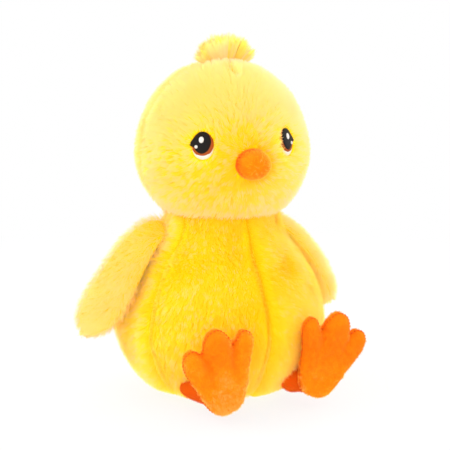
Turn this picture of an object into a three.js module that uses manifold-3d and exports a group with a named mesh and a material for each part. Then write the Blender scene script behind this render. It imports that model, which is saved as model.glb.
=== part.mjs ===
import * as THREE from 'three';
import { mergeVertices } from 'three/addons/utils/BufferGeometryUtils.js';
import Module from 'manifold-3d';

// A sitting plush chick. Sizes are in millimetres and angles in degrees. The chick faces -Y, +Z is up,
// its own left is +X, and the origin is the middle of the flat seat that it rests on.

// Fabrics and fits
const PILE = 5; // long yellow pile fabric, from backing to fibre tips
const WING_PILE = 4.2; // the same fabric, brushed flat on the wings
const BACKING = 1; // knitted ground of the long pile fabric
const NAP = 1.8; // short orange pile fabric
const FIT_GAP = 0.3; // between pieces that are sewn or laid together
const LINING_GAP = 0.4; // between a cover and the filling inside it
const SWIVEL_GAP = 0.8; // around a round piece that turns inside its neighbours
const SEAM_DIP = 2; // how far a seam draws the pile in
const SEAM_REACH = 7; // distance from a seam at which the dip has faded

// Body
const BODY_RADIUS = 74; // at its widest ring
const BODY_WIDEST = 52; // height of that ring
const SEAT_RADIUS = 42; // flat seat
const BODY_APEX = 94; // peak that the shoulders point to, above the widest ring
const SHOULDER_RISE = 1.7; // exponent of the shoulder curve along its height
const SHOULDER_ROUND = 1.3; // exponent of the shoulder curve across its width
const SHOULDER_END = 22; // radius at which the body panels end, inside the neck
const SEAT_LIP = 0.6; // lower edge of the body panels above the seat
const SIDE_SEAM = 72; // side seams, from the front seam
const PELLET_RADIUS = 28; // pellet bag in the seat
const PELLET_HEIGHT = 18;

// Neck
const NECK_DROP = 21.5; // below the peak that the shoulders point to
const NECK_HEIGHT = BODY_WIDEST + BODY_APEX - NECK_DROP; // centre that the head turns, nods and tilts about
const NECK_RADIUS = 38; // outside of the turned-in fabric band
const NECK_BAND = 3; // thickness of that band
const NECK_BAND_REACH = 14; // half its height
const THREAD_RADIUS = 0.8; // gathering thread

// Head
const HEAD_RADIUS = 60.7; // at its widest ring
const HEAD_RISE = 46.5; // that ring above the neck centre
const HEAD_WIDEST = NECK_HEIGHT + HEAD_RISE;
const HEAD_UPPER = 64.4; // from the widest ring up to the crown
const HEAD_LOWER = 55; // from the widest ring down to the chin
const HEAD_FORWARD = 3; // head axis in front of the body axis
const HEAD_TURN = 9; // toward its own right
const HEAD_SEAM = 90; // side seams of the head, from the face
const CHIN_OPENING = 20; // radius at which the head panels end, inside the neck
const CROWN_OPENING = 9; // radius left for the tuft

// Crown tuft
const TUFT_FORWARD = 5; // lean of its top toward the face
const TUFT_RADIUS = 20; // half its width
const TUFT_DEPTH = 15; // half its depth, front to back
const TUFT_HEIGHT = 15; // above the crown
const TUFT_LOBES = 9; // bunches of fibre around it
const TUFT_LOBE_DEPTH = 0.9; // furrow between two bunches
const TUFT_FLARE = [[0.05, 0.92], [0.35, 1], [0.7, 0.85], [0.93, 0.5]]; // shares of its height and width

// Beak
const BEAK_WIDTH = 24.4;
const BEAK_TALL = 21.8;
const BEAK_LENGTH = 15; // from the ground of the face fabric
const BEAK_DROP = 2; // below the widest ring of the head
const BEAK_HEIGHT = HEAD_WIDEST - BEAK_DROP;

// Eyes, as seen from in front: widths across the eye, heights up it
const EYE_RISE = 11; // above the widest ring of the head
const EYE_HEIGHT = HEAD_WIDEST + EYE_RISE;
const EYE_ANGLE = 32; // from the middle of the face
const EYE_STITCH = 1.2; // thickness of the embroidery
const EYE_MARGIN = 0.6; // bare ground around the embroidery
const WHITE = { across: -0.7, up: -2.3, halfWidth: 7.2, halfHeight: 7.8 };
const IRIS = { across: -0.7, up: 0.5, halfWidth: 7.3, halfHeight: 7.9 };
const PUPIL = { across: -0.5, up: 2.2, halfWidth: 6.1, halfHeight: 7.4 };
const LASH_TIP = { across: 8.4, up: 0.1 };
const LASH_ROOT = 3.7; // where the lower edge of the lash meets the pupil, across the eye
const GLINT_UPPER = { across: 0, up: 4.1, halfWidth: 1.7, halfHeight: 2.1 };
const GLINT_LOWER = { across: 3.4, up: -0.6, halfWidth: 1.1, halfHeight: 1.1 };

// Wings
const WING_LENGTH = 87; // along its curve
const WING_CHORD = 46; // at its widest
const WING_ROOT_CHORD = 30;
const WING_THICK = 19; // at its thickest
const WING_ROOT_THICK = 11;
const WING_DROP = 11.5; // shoulder below the neck centre
const WING_SHOULDER = NECK_HEIGHT - WING_DROP; // height of the body surface where it is sewn on
const WING_AZIMUTH = 98; // from the front
const WING_START = 31; // slope below level at the shoulder
const WING_END = 73; // slope below level at the tip
const WING_WIDEST = 0.62; // share of its length at which it is widest and thickest
const WING_STATIONS = [0, 0.12, 0.28, 0.45, 0.62, 0.76, 0.87, 0.95, 0.99]; // rings, as shares of its length
const WING_HEEL_STATIONS = [0.95, 0.6]; // rings of its rounded root, as shares of half its thickness
const WING_THINNEST = 0.4; // least half thickness of a drawn-in ring

// Legs and feet
const LEG_RADIUS = 8.5;
const LEG_REACH = 2.8; // beyond the swell of the belly over the hip
const LEG_AZIMUTH = { left: 38, right: 27 }; // direction it points in
const HIP_AZIMUTH = 31; // where it is sewn on
const HIP_HEIGHT = 16;
const HIP_DEPTH = 2; // hip centre below the body surface
const LEG_MOUTH = 4; // radius of the open ends of the leg tube
const LEG_LIFT = 5; // how far the leg can swing up
const ANKLE_BEND = 15; // how far the toes can bend forward
const SOLE_DOME = 6; // swell of the sole in front of the foot seam
const UPPER_DOME = 10; // swell behind it
const FOOT_YAW = { left: -10, right: 10 }; // toes turned out
const FOOT_PITCH = 14; // toes leaning away from the belly
const FOOT_ROLL = 10; // toes leaning outward
const ANKLE_UP = 12; // ankle above the heel
const ANKLE_BACK = 8; // ankle behind the foot seam
const FOOT_STATIONS = [0, 35, 62]; // rings of a foot panel, as angles up its dome
const FOOT_CENTRE = [0, 31]; // outward and up from the heel
const FOOT_OUTLINE = [
  [1, 0], [-14, 5], [-19.5, 21], [-22, 39], [-24, 54], [-17, 65], [-10, 57], [0.5, 67.5], [11, 61],
  [14.5, 51], [22.5, 50], [26.5, 41], [22, 25], [13.5, 7],
]; // outward and up from the heel: inner side, three toes, outer side

// Fineness of round pieces
const DOME_FULLNESS = 0.7; // exponent that makes a dome fuller toward its rim
const BODY_FRONT_FLATS = 6;
const BODY_BACK_FLATS = 9;
const BODY_ROWS = 10;
const PELLET_ROWS = 4;
const FACE_FLATS = 12;
const HEAD_BACK_FLATS = 6;
const HEAD_ROWS = 10;
const BEAK_FLATS = 16;
const BALL_FLATS = 24;
const THREAD_FLATS = 6;
const WING_FLATS = 6;
const LEG_FLATS = 12;
const FOOT_FLATS = 26;
const EYE_FLATS = 14;
const CURVE_SAMPLES = 48;

// Colours
const YELLOW = 0xfde064;
const PALE_YELLOW = 0xfff0a0;
const ORANGE = 0xff9a1e;
const FIBRE = 0xf4f1ea;

const wasm = await Module();
wasm.setup();
const rad = THREE.MathUtils.degToRad;
const chick = new THREE.Group();

function evenly(from, to, count) {
  return Array.from({ length: count + 1 }, (_, i) => from + ((to - from) * i) / count);
}

// Closed solids from points and triangles

function closed(points, triangles) {
  let volume = 0;
  for (const [a, b, c] of triangles) volume += points[a].dot(points[b].clone().cross(points[c]));
  const facing = volume < 0 ? triangles.map(([a, b, c]) => [a, c, b]) : triangles;
  const geometry = new THREE.BufferGeometry().setFromPoints(points);
  geometry.setIndex(facing.flat());
  return geometry;
}

function quad(a, b, c, d) {
  return [[a, b, c], [a, c, d]];
}

// A wall between two grids of points, closed along its four edges
function shell(outer, inner) {
  const rows = outer.length;
  const columns = outer[0].length;
  const at = (row, column) => row * columns + column;
  const back = (row, column) => rows * columns + at(row, column);
  const triangles = [];
  for (let r = 0; r < rows - 1; r++) {
    for (let c = 0; c < columns - 1; c++) {
      triangles.push(...quad(at(r, c), at(r, c + 1), at(r + 1, c + 1), at(r + 1, c)));
      triangles.push(...quad(back(r + 1, c), back(r + 1, c + 1), back(r, c + 1), back(r, c)));
    }
    triangles.push(...quad(at(r, 0), at(r + 1, 0), back(r + 1, 0), back(r, 0)));
    const last = columns - 1;
    triangles.push(...quad(at(r + 1, last), at(r, last), back(r, last), back(r + 1, last)));
  }
  for (let c = 0; c < columns - 1; c++) {
    const end = rows - 1;
    triangles.push(...quad(at(0, c + 1), at(0, c), back(0, c), back(0, c + 1)));
    triangles.push(...quad(at(end, c), at(end, c + 1), back(end, c + 1), back(end, c)));
  }
  return closed([...outer.flat(), ...inner.flat()], triangles);
}

// Triangles that join rings of equal length, one after the other
function ringTriangles(start, rings, size) {
  const triangles = [];
  for (let r = 0; r < rings - 1; r++) {
    for (let i = 0; i < size; i++) {
      const next = (i + 1) % size;
      const low = start + r * size;
      const high = low + size;
      triangles.push(...quad(low + i, low + next, high + next, high + i));
    }
  }
  return triangles;
}

function fan(start, size, tip, reversed) {
  return Array.from({ length: size }, (_, i) => {
    const edge = [start + i, start + ((i + 1) % size)];
    return reversed ? [edge[1], edge[0], tip] : [...edge, tip];
  });
}

function middle(ring) {
  const sum = ring.reduce((total, point) => total.add(point), new THREE.Vector3());
  return sum.divideScalar(ring.length);
}

// A solid through rings, closed at both ends
function loft(rings, firstTip = middle(rings[0]), lastTip = middle(rings.at(-1))) {
  const size = rings[0].length;
  const points = [...rings.flat(), firstTip, lastTip];
  const count = rings.length * size;
  const triangles = [
    ...ringTriangles(0, rings.length, size),
    ...fan(0, size, count, true),
    ...fan(count - size, size, count + 1, false),
  ];
  return closed(points, triangles);
}

// A bowl-shaped wall: two sets of rings from the rim to a pole
function bowl(outer, inner, outerPole, innerPole) {
  const size = outer[0].length;
  const count = outer.length * size;
  const points = [...outer.flat(), ...inner.flat(), outerPole, innerPole];
  const flip = ([a, b, c]) => [a, c, b];
  const rim = [];
  for (let i = 0; i < size; i++) {
    const next = (i + 1) % size;
    rim.push(...quad(next, i, count + i, count + next));
  }
  const triangles = [
    ...ringTriangles(0, outer.length, size),
    ...fan(count - size, size, 2 * count, false),
    ...ringTriangles(count, inner.length, size).map(flip),
    ...fan(2 * count - size, size, 2 * count + 1, false).map(flip),
    ...rim,
  ];
  return closed(points, triangles);
}

// Booleans

function solid(geometry) {
  const bare = geometry.clone();
  bare.deleteAttribute('normal');
  bare.deleteAttribute('uv');
  const merged = mergeVertices(bare);
  const vertProperties = new Float32Array(merged.attributes.position.array);
  const triVerts = new Uint32Array(merged.index.array);
  return new wasm.Manifold(new wasm.Mesh({ numProp: 3, vertProperties, triVerts }));
}

function geometryOf(manifold) {
  const { vertProperties, triVerts } = manifold.getMesh();
  const geometry = new THREE.BufferGeometry();
  geometry.setAttribute('position', new THREE.BufferAttribute(new Float32Array(vertProperties), 3));
  geometry.setIndex([...triVerts]);
  return geometry;
}

function cut(geometry, ...tools) {
  return geometryOf(tools.reduce((body, tool) => body.subtract(solid(tool)), solid(geometry)));
}

function sphere(radius, centre, flats) {
  return new THREE.SphereGeometry(radius, flats, flats / 2).rotateX(Math.PI / 2).translate(...centre);
}

function add(parent, name, geometry, color, roughness = 0.95) {
  const material = new THREE.MeshStandardMaterial({ color, roughness, metalness: 0 });
  const mesh = new THREE.Mesh(geometry, material);
  mesh.name = name;
  parent.add(mesh);
}

function group(parent, position, rotation = [0, 0, 0], order = 'XYZ') {
  const holder = new THREE.Group();
  holder.position.set(...position);
  holder.rotation.set(...rotation.map(rad), order);
  parent.add(holder);
  return holder;
}

// Round skins: rows of a profile, each with its radius, height and outward normal, turned about Z

function profileRows(curve, count) {
  return evenly(0, 1, count).map((share) => {
    const point = curve.getPointAt(share);
    const tangent = curve.getTangentAt(share);
    return { r: point.x, z: point.y, nr: tangent.y, nz: -tangent.x };
  });
}

function skinPoint(row, azimuth, depth) {
  const r = row.r - row.nr * depth;
  return new THREE.Vector3(r * Math.sin(azimuth), -r * Math.cos(azimuth), row.z - row.nz * depth);
}

// One sewn panel between two seams, its pile drawn in along both of them
function gore(rows, from, to, flats) {
  const fade = (distance) => SEAM_DIP * Math.exp(-((distance / SEAM_REACH) ** 2));
  const grid = (depthAt) =>
    rows.map((row) => {
      const inset = FIT_GAP / 2 / row.r;
      const azimuths = evenly(rad(from) + inset, rad(to) - inset, flats);
      return azimuths.map((azimuth) => skinPoint(row, azimuth, depthAt(row, azimuth)));
    });
  const outer = grid((row, a) => fade(row.r * (a - rad(from))) + fade(row.r * (rad(to) - a)));
  return shell(outer, grid(() => PILE));
}

// The whole round body under the skin, on the same flats as its panels
function filling(rows, azimuths, depth, foot, crown) {
  const rings = rows.map((row) => azimuths.map((azimuth) => skinPoint(row, rad(azimuth), depth)));
  const low = new THREE.Vector3(0, 0, foot ?? rings[0][0].z);
  const high = new THREE.Vector3(0, 0, crown ?? rings.at(-1)[0].z);
  return loft(rings, low, high);
}

// Body

function bodyRadius(height) {
  if (height > BODY_WIDEST) {
    const rise = (height - BODY_WIDEST) / BODY_APEX;
    return BODY_RADIUS * (1 - rise ** SHOULDER_RISE) ** (1 / SHOULDER_ROUND);
  }
  const drop = (BODY_WIDEST - height) / BODY_WIDEST;
  return Math.sqrt(BODY_RADIUS ** 2 - drop ** 2 * (BODY_RADIUS ** 2 - SEAT_RADIUS ** 2));
}

const shoulderEnd = (1 - (SHOULDER_END / BODY_RADIUS) ** SHOULDER_ROUND) ** (1 / SHOULDER_RISE) * BODY_APEX;
const bodyHeights = evenly(SEAT_LIP, BODY_WIDEST + shoulderEnd, CURVE_SAMPLES);
const bodyCurve = new THREE.SplineCurve(bodyHeights.map((z) => new THREE.Vector2(bodyRadius(z), z)));
const bodyRows = profileRows(bodyCurve, BODY_ROWS);
const bodyAzimuths = [
  ...evenly(0, SIDE_SEAM, BODY_FRONT_FLATS).slice(1),
  ...evenly(SIDE_SEAM, 180, BODY_BACK_FLATS).slice(1),
  ...evenly(180, 360 - SIDE_SEAM, BODY_BACK_FLATS).slice(1),
  ...evenly(360 - SIDE_SEAM, 360, BODY_FRONT_FLATS).slice(1),
];
const neckCentre = [0, -HEAD_FORWARD, NECK_HEIGHT];
const neckSocket = sphere(NECK_RADIUS + SWIVEL_GAP, neckCentre, BALL_FLATS);

// Outward normal of the body surface at a height, as [radial, up]
function bodyNormal(height) {
  const step = 0.5;
  const slope = (bodyRadius(height + step) - bodyRadius(height - step)) / (2 * step);
  const length = Math.hypot(1, slope);
  return [1 / length, -slope / length];
}

function hipCentre(side) {
  const [out, up] = bodyNormal(HIP_HEIGHT);
  const radius = bodyRadius(HIP_HEIGHT) - HIP_DEPTH * out;
  const azimuth = rad(side * HIP_AZIMUTH);
  return [radius * Math.sin(azimuth), -radius * Math.cos(azimuth), HIP_HEIGHT - HIP_DEPTH * up];
}

// From hip centre to ankle centre
const legLength = BODY_RADIUS - bodyRadius(HIP_HEIGHT) + LEG_REACH;

// Direction of a leg about Z, which its own left side counts as positive
function legTurn(side) {
  return side > 0 ? LEG_AZIMUTH.left : -LEG_AZIMUTH.right;
}

// Room for a round leg end at the origin, widening along -Y so that the leg can swing by an angle
function legRoom(swing) {
  const round = LEG_RADIUS + SWIVEL_GAP;
  const mouth = round + legLength * Math.tan(rad(swing));
  const back = evenly(90, 0, LEG_FLATS / 4).map((angle) => {
    return new THREE.Vector2(angle === 90 ? 0 : round * Math.cos(rad(angle)), round * Math.sin(rad(angle)));
  });
  const profile = [...back, new THREE.Vector2(mouth, -legLength), new THREE.Vector2(0, -legLength)];
  return new THREE.LatheGeometry(profile.reverse(), LEG_FLATS);
}

function hipRoom(side) {
  return legRoom(LEG_LIFT).rotateZ(rad(legTurn(side))).translate(...hipCentre(side));
}

function addBody() {
  const hips = [1, -1].map(hipRoom);
  const front = (from, to) => cut(gore(bodyRows, from, to, BODY_FRONT_FLATS), neckSocket, ...hips);
  const back = (from, to) => cut(gore(bodyRows, from, to, BODY_BACK_FLATS), neckSocket);
  add(chick, 'body_front_left_panel', front(0, SIDE_SEAM), YELLOW);
  add(chick, 'body_front_right_panel', front(-SIDE_SEAM, 0), YELLOW);
  add(chick, 'body_back_left_panel', back(SIDE_SEAM, 180), YELLOW);
  add(chick, 'body_back_right_panel', back(180, 360 - SIDE_SEAM), YELLOW);

  const rim = bodyRows[0];
  const top = rim.z - rim.nz * PILE;
  const topRadius = rim.r - rim.nr * PILE - FIT_GAP;
  const base = new THREE.CylinderGeometry(topRadius, rim.r - 2 * FIT_GAP, top, BALL_FLATS);
  add(chick, 'body_base_panel', base.rotateX(Math.PI / 2).translate(0, 0, top / 2), YELLOW);

  const bagFloor = top + FIT_GAP;
  const turned = (profile) => new THREE.LatheGeometry(profile, BALL_FLATS / 2).rotateX(Math.PI / 2);
  const bag = turned([new THREE.Vector2(0, bagFloor), ...pelletDome(bagFloor, 0)]);
  add(chick, 'pellet_bag', bag, FIBRE, 0.8);
  const mouth = [new THREE.Vector2(0, 0), new THREE.Vector2(PELLET_RADIUS + LINING_GAP, 0)];
  const pocket = turned([...mouth, ...pelletDome(bagFloor, LINING_GAP)]);
  const core = filling(bodyRows, bodyAzimuths, PILE + LINING_GAP);
  add(chick, 'body_filling', cut(core, neckSocket, ...hips, pocket), FIBRE);
}

// Profile of the pellet bag, a low dome on the base panel, from its rim up
function pelletDome(floor, grow) {
  return evenly(0, 90, PELLET_ROWS).map((angle) => {
    const across = (PELLET_RADIUS + grow) * Math.cos(rad(angle)) ** DOME_FULLNESS;
    const height = floor + (PELLET_HEIGHT + grow) * Math.sin(rad(angle));
    return new THREE.Vector2(angle === 90 ? 0 : across, height);
  });
}

// Neck: a ball of filling, the turned-in fabric around it and the thread that gathers it

function addNeck() {
  const neck = group(chick, neckCentre);
  const inside = NECK_RADIUS - NECK_BAND;
  const threadTrack = NECK_RADIUS - THREAD_RADIUS;
  const groove = THREAD_RADIUS + FIT_GAP;
  const reach = Math.asin(NECK_BAND_REACH / NECK_RADIUS);
  const lip = Math.asin(groove / NECK_RADIUS);
  const arc = (radius, from, to, count) =>
    evenly(from, to, count).map((angle) => {
      return new THREE.Vector2(radius * Math.cos(angle), radius * Math.sin(angle));
    });
  const outline = [
    ...arc(NECK_RADIUS, -reach, -lip, 2),
    new THREE.Vector2(threadTrack - groove, -groove),
    new THREE.Vector2(threadTrack - groove, groove),
    ...arc(NECK_RADIUS, lip, reach, 2),
    ...arc(inside, reach, -reach, 4),
  ];
  const band = new THREE.LatheGeometry([...outline, outline[0]], BALL_FLATS).rotateX(Math.PI / 2);
  add(neck, 'neck_band', band, YELLOW);
  const thread = new THREE.TorusGeometry(threadTrack, THREAD_RADIUS, THREAD_FLATS, BALL_FLATS);
  add(neck, 'neck_thread', thread, PALE_YELLOW);
  add(neck, 'neck_filling', sphere(inside - SWIVEL_GAP, [0, 0, 0], BALL_FLATS), FIBRE);
}

// Head

const headPlace = [0, -HEAD_FORWARD, 0];
const chinAngle = -Math.acos(CHIN_OPENING / HEAD_RADIUS);
const crownAngle = Math.acos(CROWN_OPENING / HEAD_RADIUS);

function headProfilePoint(angle) {
  const tall = angle > 0 ? HEAD_UPPER : HEAD_LOWER;
  return new THREE.Vector2(HEAD_RADIUS * Math.cos(angle), HEAD_WIDEST + tall * Math.sin(angle));
}

const headCurve = new THREE.SplineCurve(evenly(chinAngle, crownAngle, CURVE_SAMPLES).map(headProfilePoint));
const headRows = profileRows(headCurve, HEAD_ROWS);
const headAzimuths = [
  ...evenly(-HEAD_SEAM, HEAD_SEAM, FACE_FLATS).slice(1),
  ...evenly(HEAD_SEAM, 180, HEAD_BACK_FLATS).slice(1),
  ...evenly(180, 360 - HEAD_SEAM, HEAD_BACK_FLATS).slice(1),
];

function headUnder(depth) {
  const chin = HEAD_WIDEST - HEAD_LOWER + depth;
  const crown = HEAD_WIDEST + HEAD_UPPER - depth;
  return filling(headRows, headAzimuths, depth, chin, crown);
}

const groundDepth = PILE - BACKING; // from the fibre tips to the ground of the face fabric
const faceGround = headUnder(groundDepth);
const seatOnFace = headUnder(groundDepth - FIT_GAP);

// Place on the face: at an azimuth and height, with +Z local pointing out of the fabric and +Y local up
function facePlace(azimuth, height) {
  const tall = height > HEAD_WIDEST ? HEAD_UPPER : HEAD_LOWER;
  const angle = Math.asin((height - HEAD_WIDEST) / tall);
  const out = new THREE.Vector2(Math.cos(angle) / HEAD_RADIUS, Math.sin(angle) / tall).normalize();
  const row = { r: HEAD_RADIUS * Math.cos(angle), z: height, nr: out.x, nz: out.y };
  const point = skinPoint(row, azimuth, groundDepth);
  const normal = new THREE.Vector3(out.x * Math.sin(azimuth), -out.x * Math.cos(azimuth), out.y);
  const across = new THREE.Vector3(Math.cos(azimuth), Math.sin(azimuth), 0);
  return new THREE.Matrix4().makeBasis(across, normal.clone().cross(across), normal).setPosition(point);
}

function ellipsePrism({ across, up, halfWidth, halfHeight }, side, grow) {
  const shape = new THREE.Shape();
  shape.absellipse(side * across, up, halfWidth + grow, halfHeight + grow, 0, 2 * Math.PI);
  return prism(shape);
}

function prism(shape) {
  const reach = 2 * PILE;
  const settings = { depth: 2 * reach, bevelEnabled: false, curveSegments: EYE_FLATS / 2 };
  return new THREE.ExtrudeGeometry(shape, settings).translate(0, 0, -reach);
}

// The lid line and lash, from the top of the pupil to the outer corner of the eye
function lashPrism(side, grow) {
  const tip = [LASH_TIP.across + grow, LASH_TIP.up - grow / 2];
  const top = PUPIL.up + PUPIL.halfHeight + grow;
  const shape = new THREE.Shape();
  shape.moveTo(side * PUPIL.across, top);
  shape.quadraticCurveTo(side * (PUPIL.halfWidth + grow), top, side * tip[0], tip[1]);
  shape.lineTo(side * LASH_ROOT, tip[1] - grow);
  shape.lineTo(side * PUPIL.across, PUPIL.up);
  return prism(shape);
}

// Left and right of the face are mirrored, so the outer corner of an eye lies on its own side
function eyeTools(side) {
  const place = facePlace(side * rad(EYE_ANGLE), EYE_HEIGHT);
  const put = (geometry) => solid(geometry.applyMatrix4(place));
  const pupil = (grow) => put(ellipsePrism(PUPIL, side, grow)).add(put(lashPrism(side, grow)));
  const patch = (outline) => (grow) => put(ellipsePrism(outline, side, grow));
  return {
    pupil,
    iris: patch(IRIS),
    white: patch(WHITE),
    glintUpper: patch(GLINT_UPPER),
    glintLower: patch(GLINT_LOWER),
  };
}

// The bare oval of ground that an eye is stitched on
function eyeGround(side) {
  const outline = eyeTools(side);
  const margin = EYE_MARGIN + FIT_GAP;
  const oval = outline.pupil(margin).add(outline.iris(margin)).add(outline.white(margin));
  return oval.subtract(solid(faceGround));
}

function addEye(head, side, name) {
  const layer = solid(headUnder(groundDepth - FIT_GAP - EYE_STITCH)).subtract(solid(seatOnFace));
  const { pupil, iris, white, glintUpper, glintLower } = eyeTools(side);
  const black = pupil(0).subtract(glintUpper(FIT_GAP)).subtract(glintLower(FIT_GAP));
  const brown = iris(0).subtract(pupil(FIT_GAP));
  const pale = white(0).subtract(iris(FIT_GAP)).subtract(pupil(FIT_GAP));
  const stitched = (outline) => geometryOf(outline.intersect(layer));
  add(head, `${name}_eye_pupil`, stitched(black), 0x1a1210, 0.6);
  add(head, `${name}_eye_iris`, stitched(brown), 0x9a4a1c, 0.6);
  add(head, `${name}_eye_white`, stitched(pale), 0xf7f5f0, 0.6);
  add(head, `${name}_eye_upper_glint`, stitched(glintUpper(0)), 0xf7f5f0, 0.6);
  add(head, `${name}_eye_lower_glint`, stitched(glintLower(0)), 0xf7f5f0, 0.6);
}

function beakDome(inset) {
  const dome = new THREE.SphereGeometry(1, BEAK_FLATS, BEAK_FLATS / 2);
  dome.scale(BEAK_WIDTH / 2 - inset, BEAK_TALL / 2 - inset, BEAK_LENGTH - inset);
  return dome.applyMatrix4(facePlace(0, BEAK_HEIGHT));
}

function addHead() {
  const head = group(chick, headPlace, [0, 0, -HEAD_TURN]);
  const socket = sphere(NECK_RADIUS + SWIVEL_GAP, [0, 0, NECK_HEIGHT], BALL_FLATS);
  const beakGround = solid(beakDome(-FIT_GAP)).subtract(solid(faceGround));
  const bareGround = [1, -1].reduce((all, side) => all.add(eyeGround(side)), beakGround);
  const face = cut(gore(headRows, -HEAD_SEAM, HEAD_SEAM, FACE_FLATS), socket);
  add(head, 'face_panel', geometryOf(solid(face).subtract(bareGround)), YELLOW);
  const back = (from, to) => cut(gore(headRows, from, to, HEAD_BACK_FLATS), socket);
  add(head, 'head_back_left_panel', back(HEAD_SEAM, 180), YELLOW);
  add(head, 'head_back_right_panel', back(180, 360 - HEAD_SEAM), YELLOW);
  add(head, 'head_filling', cut(headUnder(PILE + LINING_GAP), socket), FIBRE);

  add(head, 'beak_cover', cut(beakDome(0), beakDome(NAP), seatOnFace), ORANGE);
  add(head, 'beak_filling', cut(beakDome(NAP + LINING_GAP), seatOnFace), FIBRE);
  addEye(head, 1, 'left');
  addEye(head, -1, 'right');
  addTuft(head);
}

// A fan of long fibre bunches that stands on the filling, in the opening at the crown
function addTuft(head) {
  const crown = HEAD_WIDEST + HEAD_UPPER;
  const root = CROWN_OPENING - PILE / 2;
  const flare = TUFT_FLARE.map(([rise, spread]) => {
    return { up: TUFT_HEIGHT * rise, wide: TUFT_RADIUS * spread, deep: TUFT_DEPTH * spread };
  });
  flare.unshift({ up: -PILE, wide: root, deep: root }, { up: 0, wide: root, deep: root });
  const lean = (up) => (up > 0 ? TUFT_FORWARD : 0);
  const rings = flare.map(({ up, wide, deep }) =>
    evenly(0, 360, 3 * TUFT_LOBES).slice(1).map((angle) => {
      const furrow = (TUFT_LOBE_DEPTH * (1 - Math.cos(rad(angle * TUFT_LOBES)))) / 2 / TUFT_RADIUS;
      const swell = up > 0 ? 1 - furrow : 1;
      return new THREE.Vector3(
        wide * swell * Math.cos(rad(angle)),
        deep * swell * Math.sin(rad(angle)) - lean(up),
        crown + up,
      );
    }),
  );
  const top = new THREE.Vector3(0, -lean(TUFT_HEIGHT), crown + TUFT_HEIGHT);
  add(head, 'crown_tuft', loft(rings, middle(rings[0]), top), PALE_YELLOW);
}

// Wings: a flipper of two panels that droops in an arc from the shoulder

function wingHinge(side) {
  const [out, up] = bodyNormal(WING_SHOULDER);
  const away = WING_ROOT_THICK / 2 + FIT_GAP;
  const radius = bodyRadius(WING_SHOULDER) + out * away;
  const azimuth = rad(side * WING_AZIMUTH);
  return [radius * Math.sin(azimuth), -radius * Math.cos(azimuth), WING_SHOULDER + up * away];
}

// Half chord and half thickness along the wing, from 0 at the shoulder to 1 at the tip
function wingSection(share) {
  const ease = (from, to, t) => from + (to - from) * Math.sin((Math.min(t, 1) * Math.PI) / 2);
  const tip = Math.sqrt(1 - (Math.max(share - WING_WIDEST, 0) / (1 - WING_WIDEST)) ** 2);
  const heel = share < 0 ? Math.sqrt(1 - (share * WING_LENGTH / (WING_ROOT_THICK / 2)) ** 2) : 1;
  return {
    chord: tip * ease(WING_ROOT_CHORD / 2, WING_CHORD / 2, share / WING_WIDEST),
    thick: tip * heel * ease(WING_ROOT_THICK / 2, WING_THICK / 2, share / WING_WIDEST),
  };
}

// Rings of the wing, drawn in on all sides and raised off its seam; angles run around from the front edge
function wingRings(side, inset, angles, raise = 0) {
  const heel = -WING_ROOT_THICK / 2 / WING_LENGTH;
  const shares = [...WING_HEEL_STATIONS.map((station) => heel * station), ...WING_STATIONS];
  const bend = rad(WING_END - WING_START);
  const arcRadius = WING_LENGTH / bend;
  return shares.map((share) => {
    const { chord, thick } = wingSection(share);
    const reach = share * (WING_LENGTH - 2 * inset) + inset;
    const slope = rad(WING_START) + reach / arcRadius;
    const along = arcRadius * (Math.sin(slope) - Math.sin(rad(WING_START)));
    const down = arcRadius * (Math.cos(rad(WING_START)) - Math.cos(slope));
    return angles.map((angle) => {
      const lift = Math.max(thick - inset, WING_THINNEST) * Math.sin(angle) + raise;
      const forward = Math.max(chord - inset, WING_THINNEST) * Math.cos(angle);
      const out = along + lift * Math.sin(slope);
      return new THREE.Vector3(side * out, -forward, lift * Math.cos(slope) - down);
    });
  });
}

function addWing(side, name) {
  const wing = group(chick, wingHinge(side), [0, 0, side * (WING_AZIMUTH - 90)]);
  const half = (start, raise) => {
    const angles = evenly(start, start + Math.PI, WING_FLATS);
    return shell(wingRings(side, 0, angles, raise), wingRings(side, WING_PILE, angles, raise));
  };
  add(wing, `${name}_wing_outer_panel`, half(0, FIT_GAP / 2), YELLOW);
  add(wing, `${name}_wing_inner_panel`, half(Math.PI, -FIT_GAP / 2), YELLOW);
  const round = evenly(0, 2 * Math.PI, 2 * WING_FLATS).slice(1);
  add(wing, `${name}_wing_filling`, loft(wingRings(side, WING_PILE + LINING_GAP, round)), FIBRE);
}

// Legs and feet: each foot is a pillow of two panels whose ankle is cupped around the end of the leg

const footCurve = new THREE.CatmullRomCurve3(
  FOOT_OUTLINE.map(([out, up]) => new THREE.Vector3(out, 0, up)), true,
);
const footRadius = footCurve.getLength() / (2 * Math.PI);

// Rings from the foot seam to the middle of a panel that swells by dome, drawn in by inset
function footRings(side, dome, inset, start) {
  const shrink = 1 - inset / footRadius;
  const outline = footCurve.getSpacedPoints(FOOT_FLATS).slice(1);
  return FOOT_STATIONS.map((angle) => {
    const scale = shrink * Math.cos(rad(angle)) ** DOME_FULLNESS;
    const swell = start + (dome - Math.sign(dome) * inset - start) * Math.sin(rad(angle));
    return outline.map((point) => {
      const out = FOOT_CENTRE[0] + (point.x - FOOT_CENTRE[0]) * scale;
      const up = FOOT_CENTRE[1] + (point.z - FOOT_CENTRE[1]) * scale;
      return new THREE.Vector3(side * out, -swell - ANKLE_BACK, up - ANKLE_UP);
    });
  });
}

function footPole(side, depth) {
  return new THREE.Vector3(side * FOOT_CENTRE[0], -depth - ANKLE_BACK, FOOT_CENTRE[1] - ANKLE_UP);
}

function footPanel(side, dome) {
  const start = (Math.sign(dome) * FIT_GAP) / 2;
  const inner = footRings(side, dome, NAP, start);
  const outer = footRings(side, dome, 0, start);
  return bowl(outer, inner, footPole(side, dome), footPole(side, dome - Math.sign(dome) * NAP));
}

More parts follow.
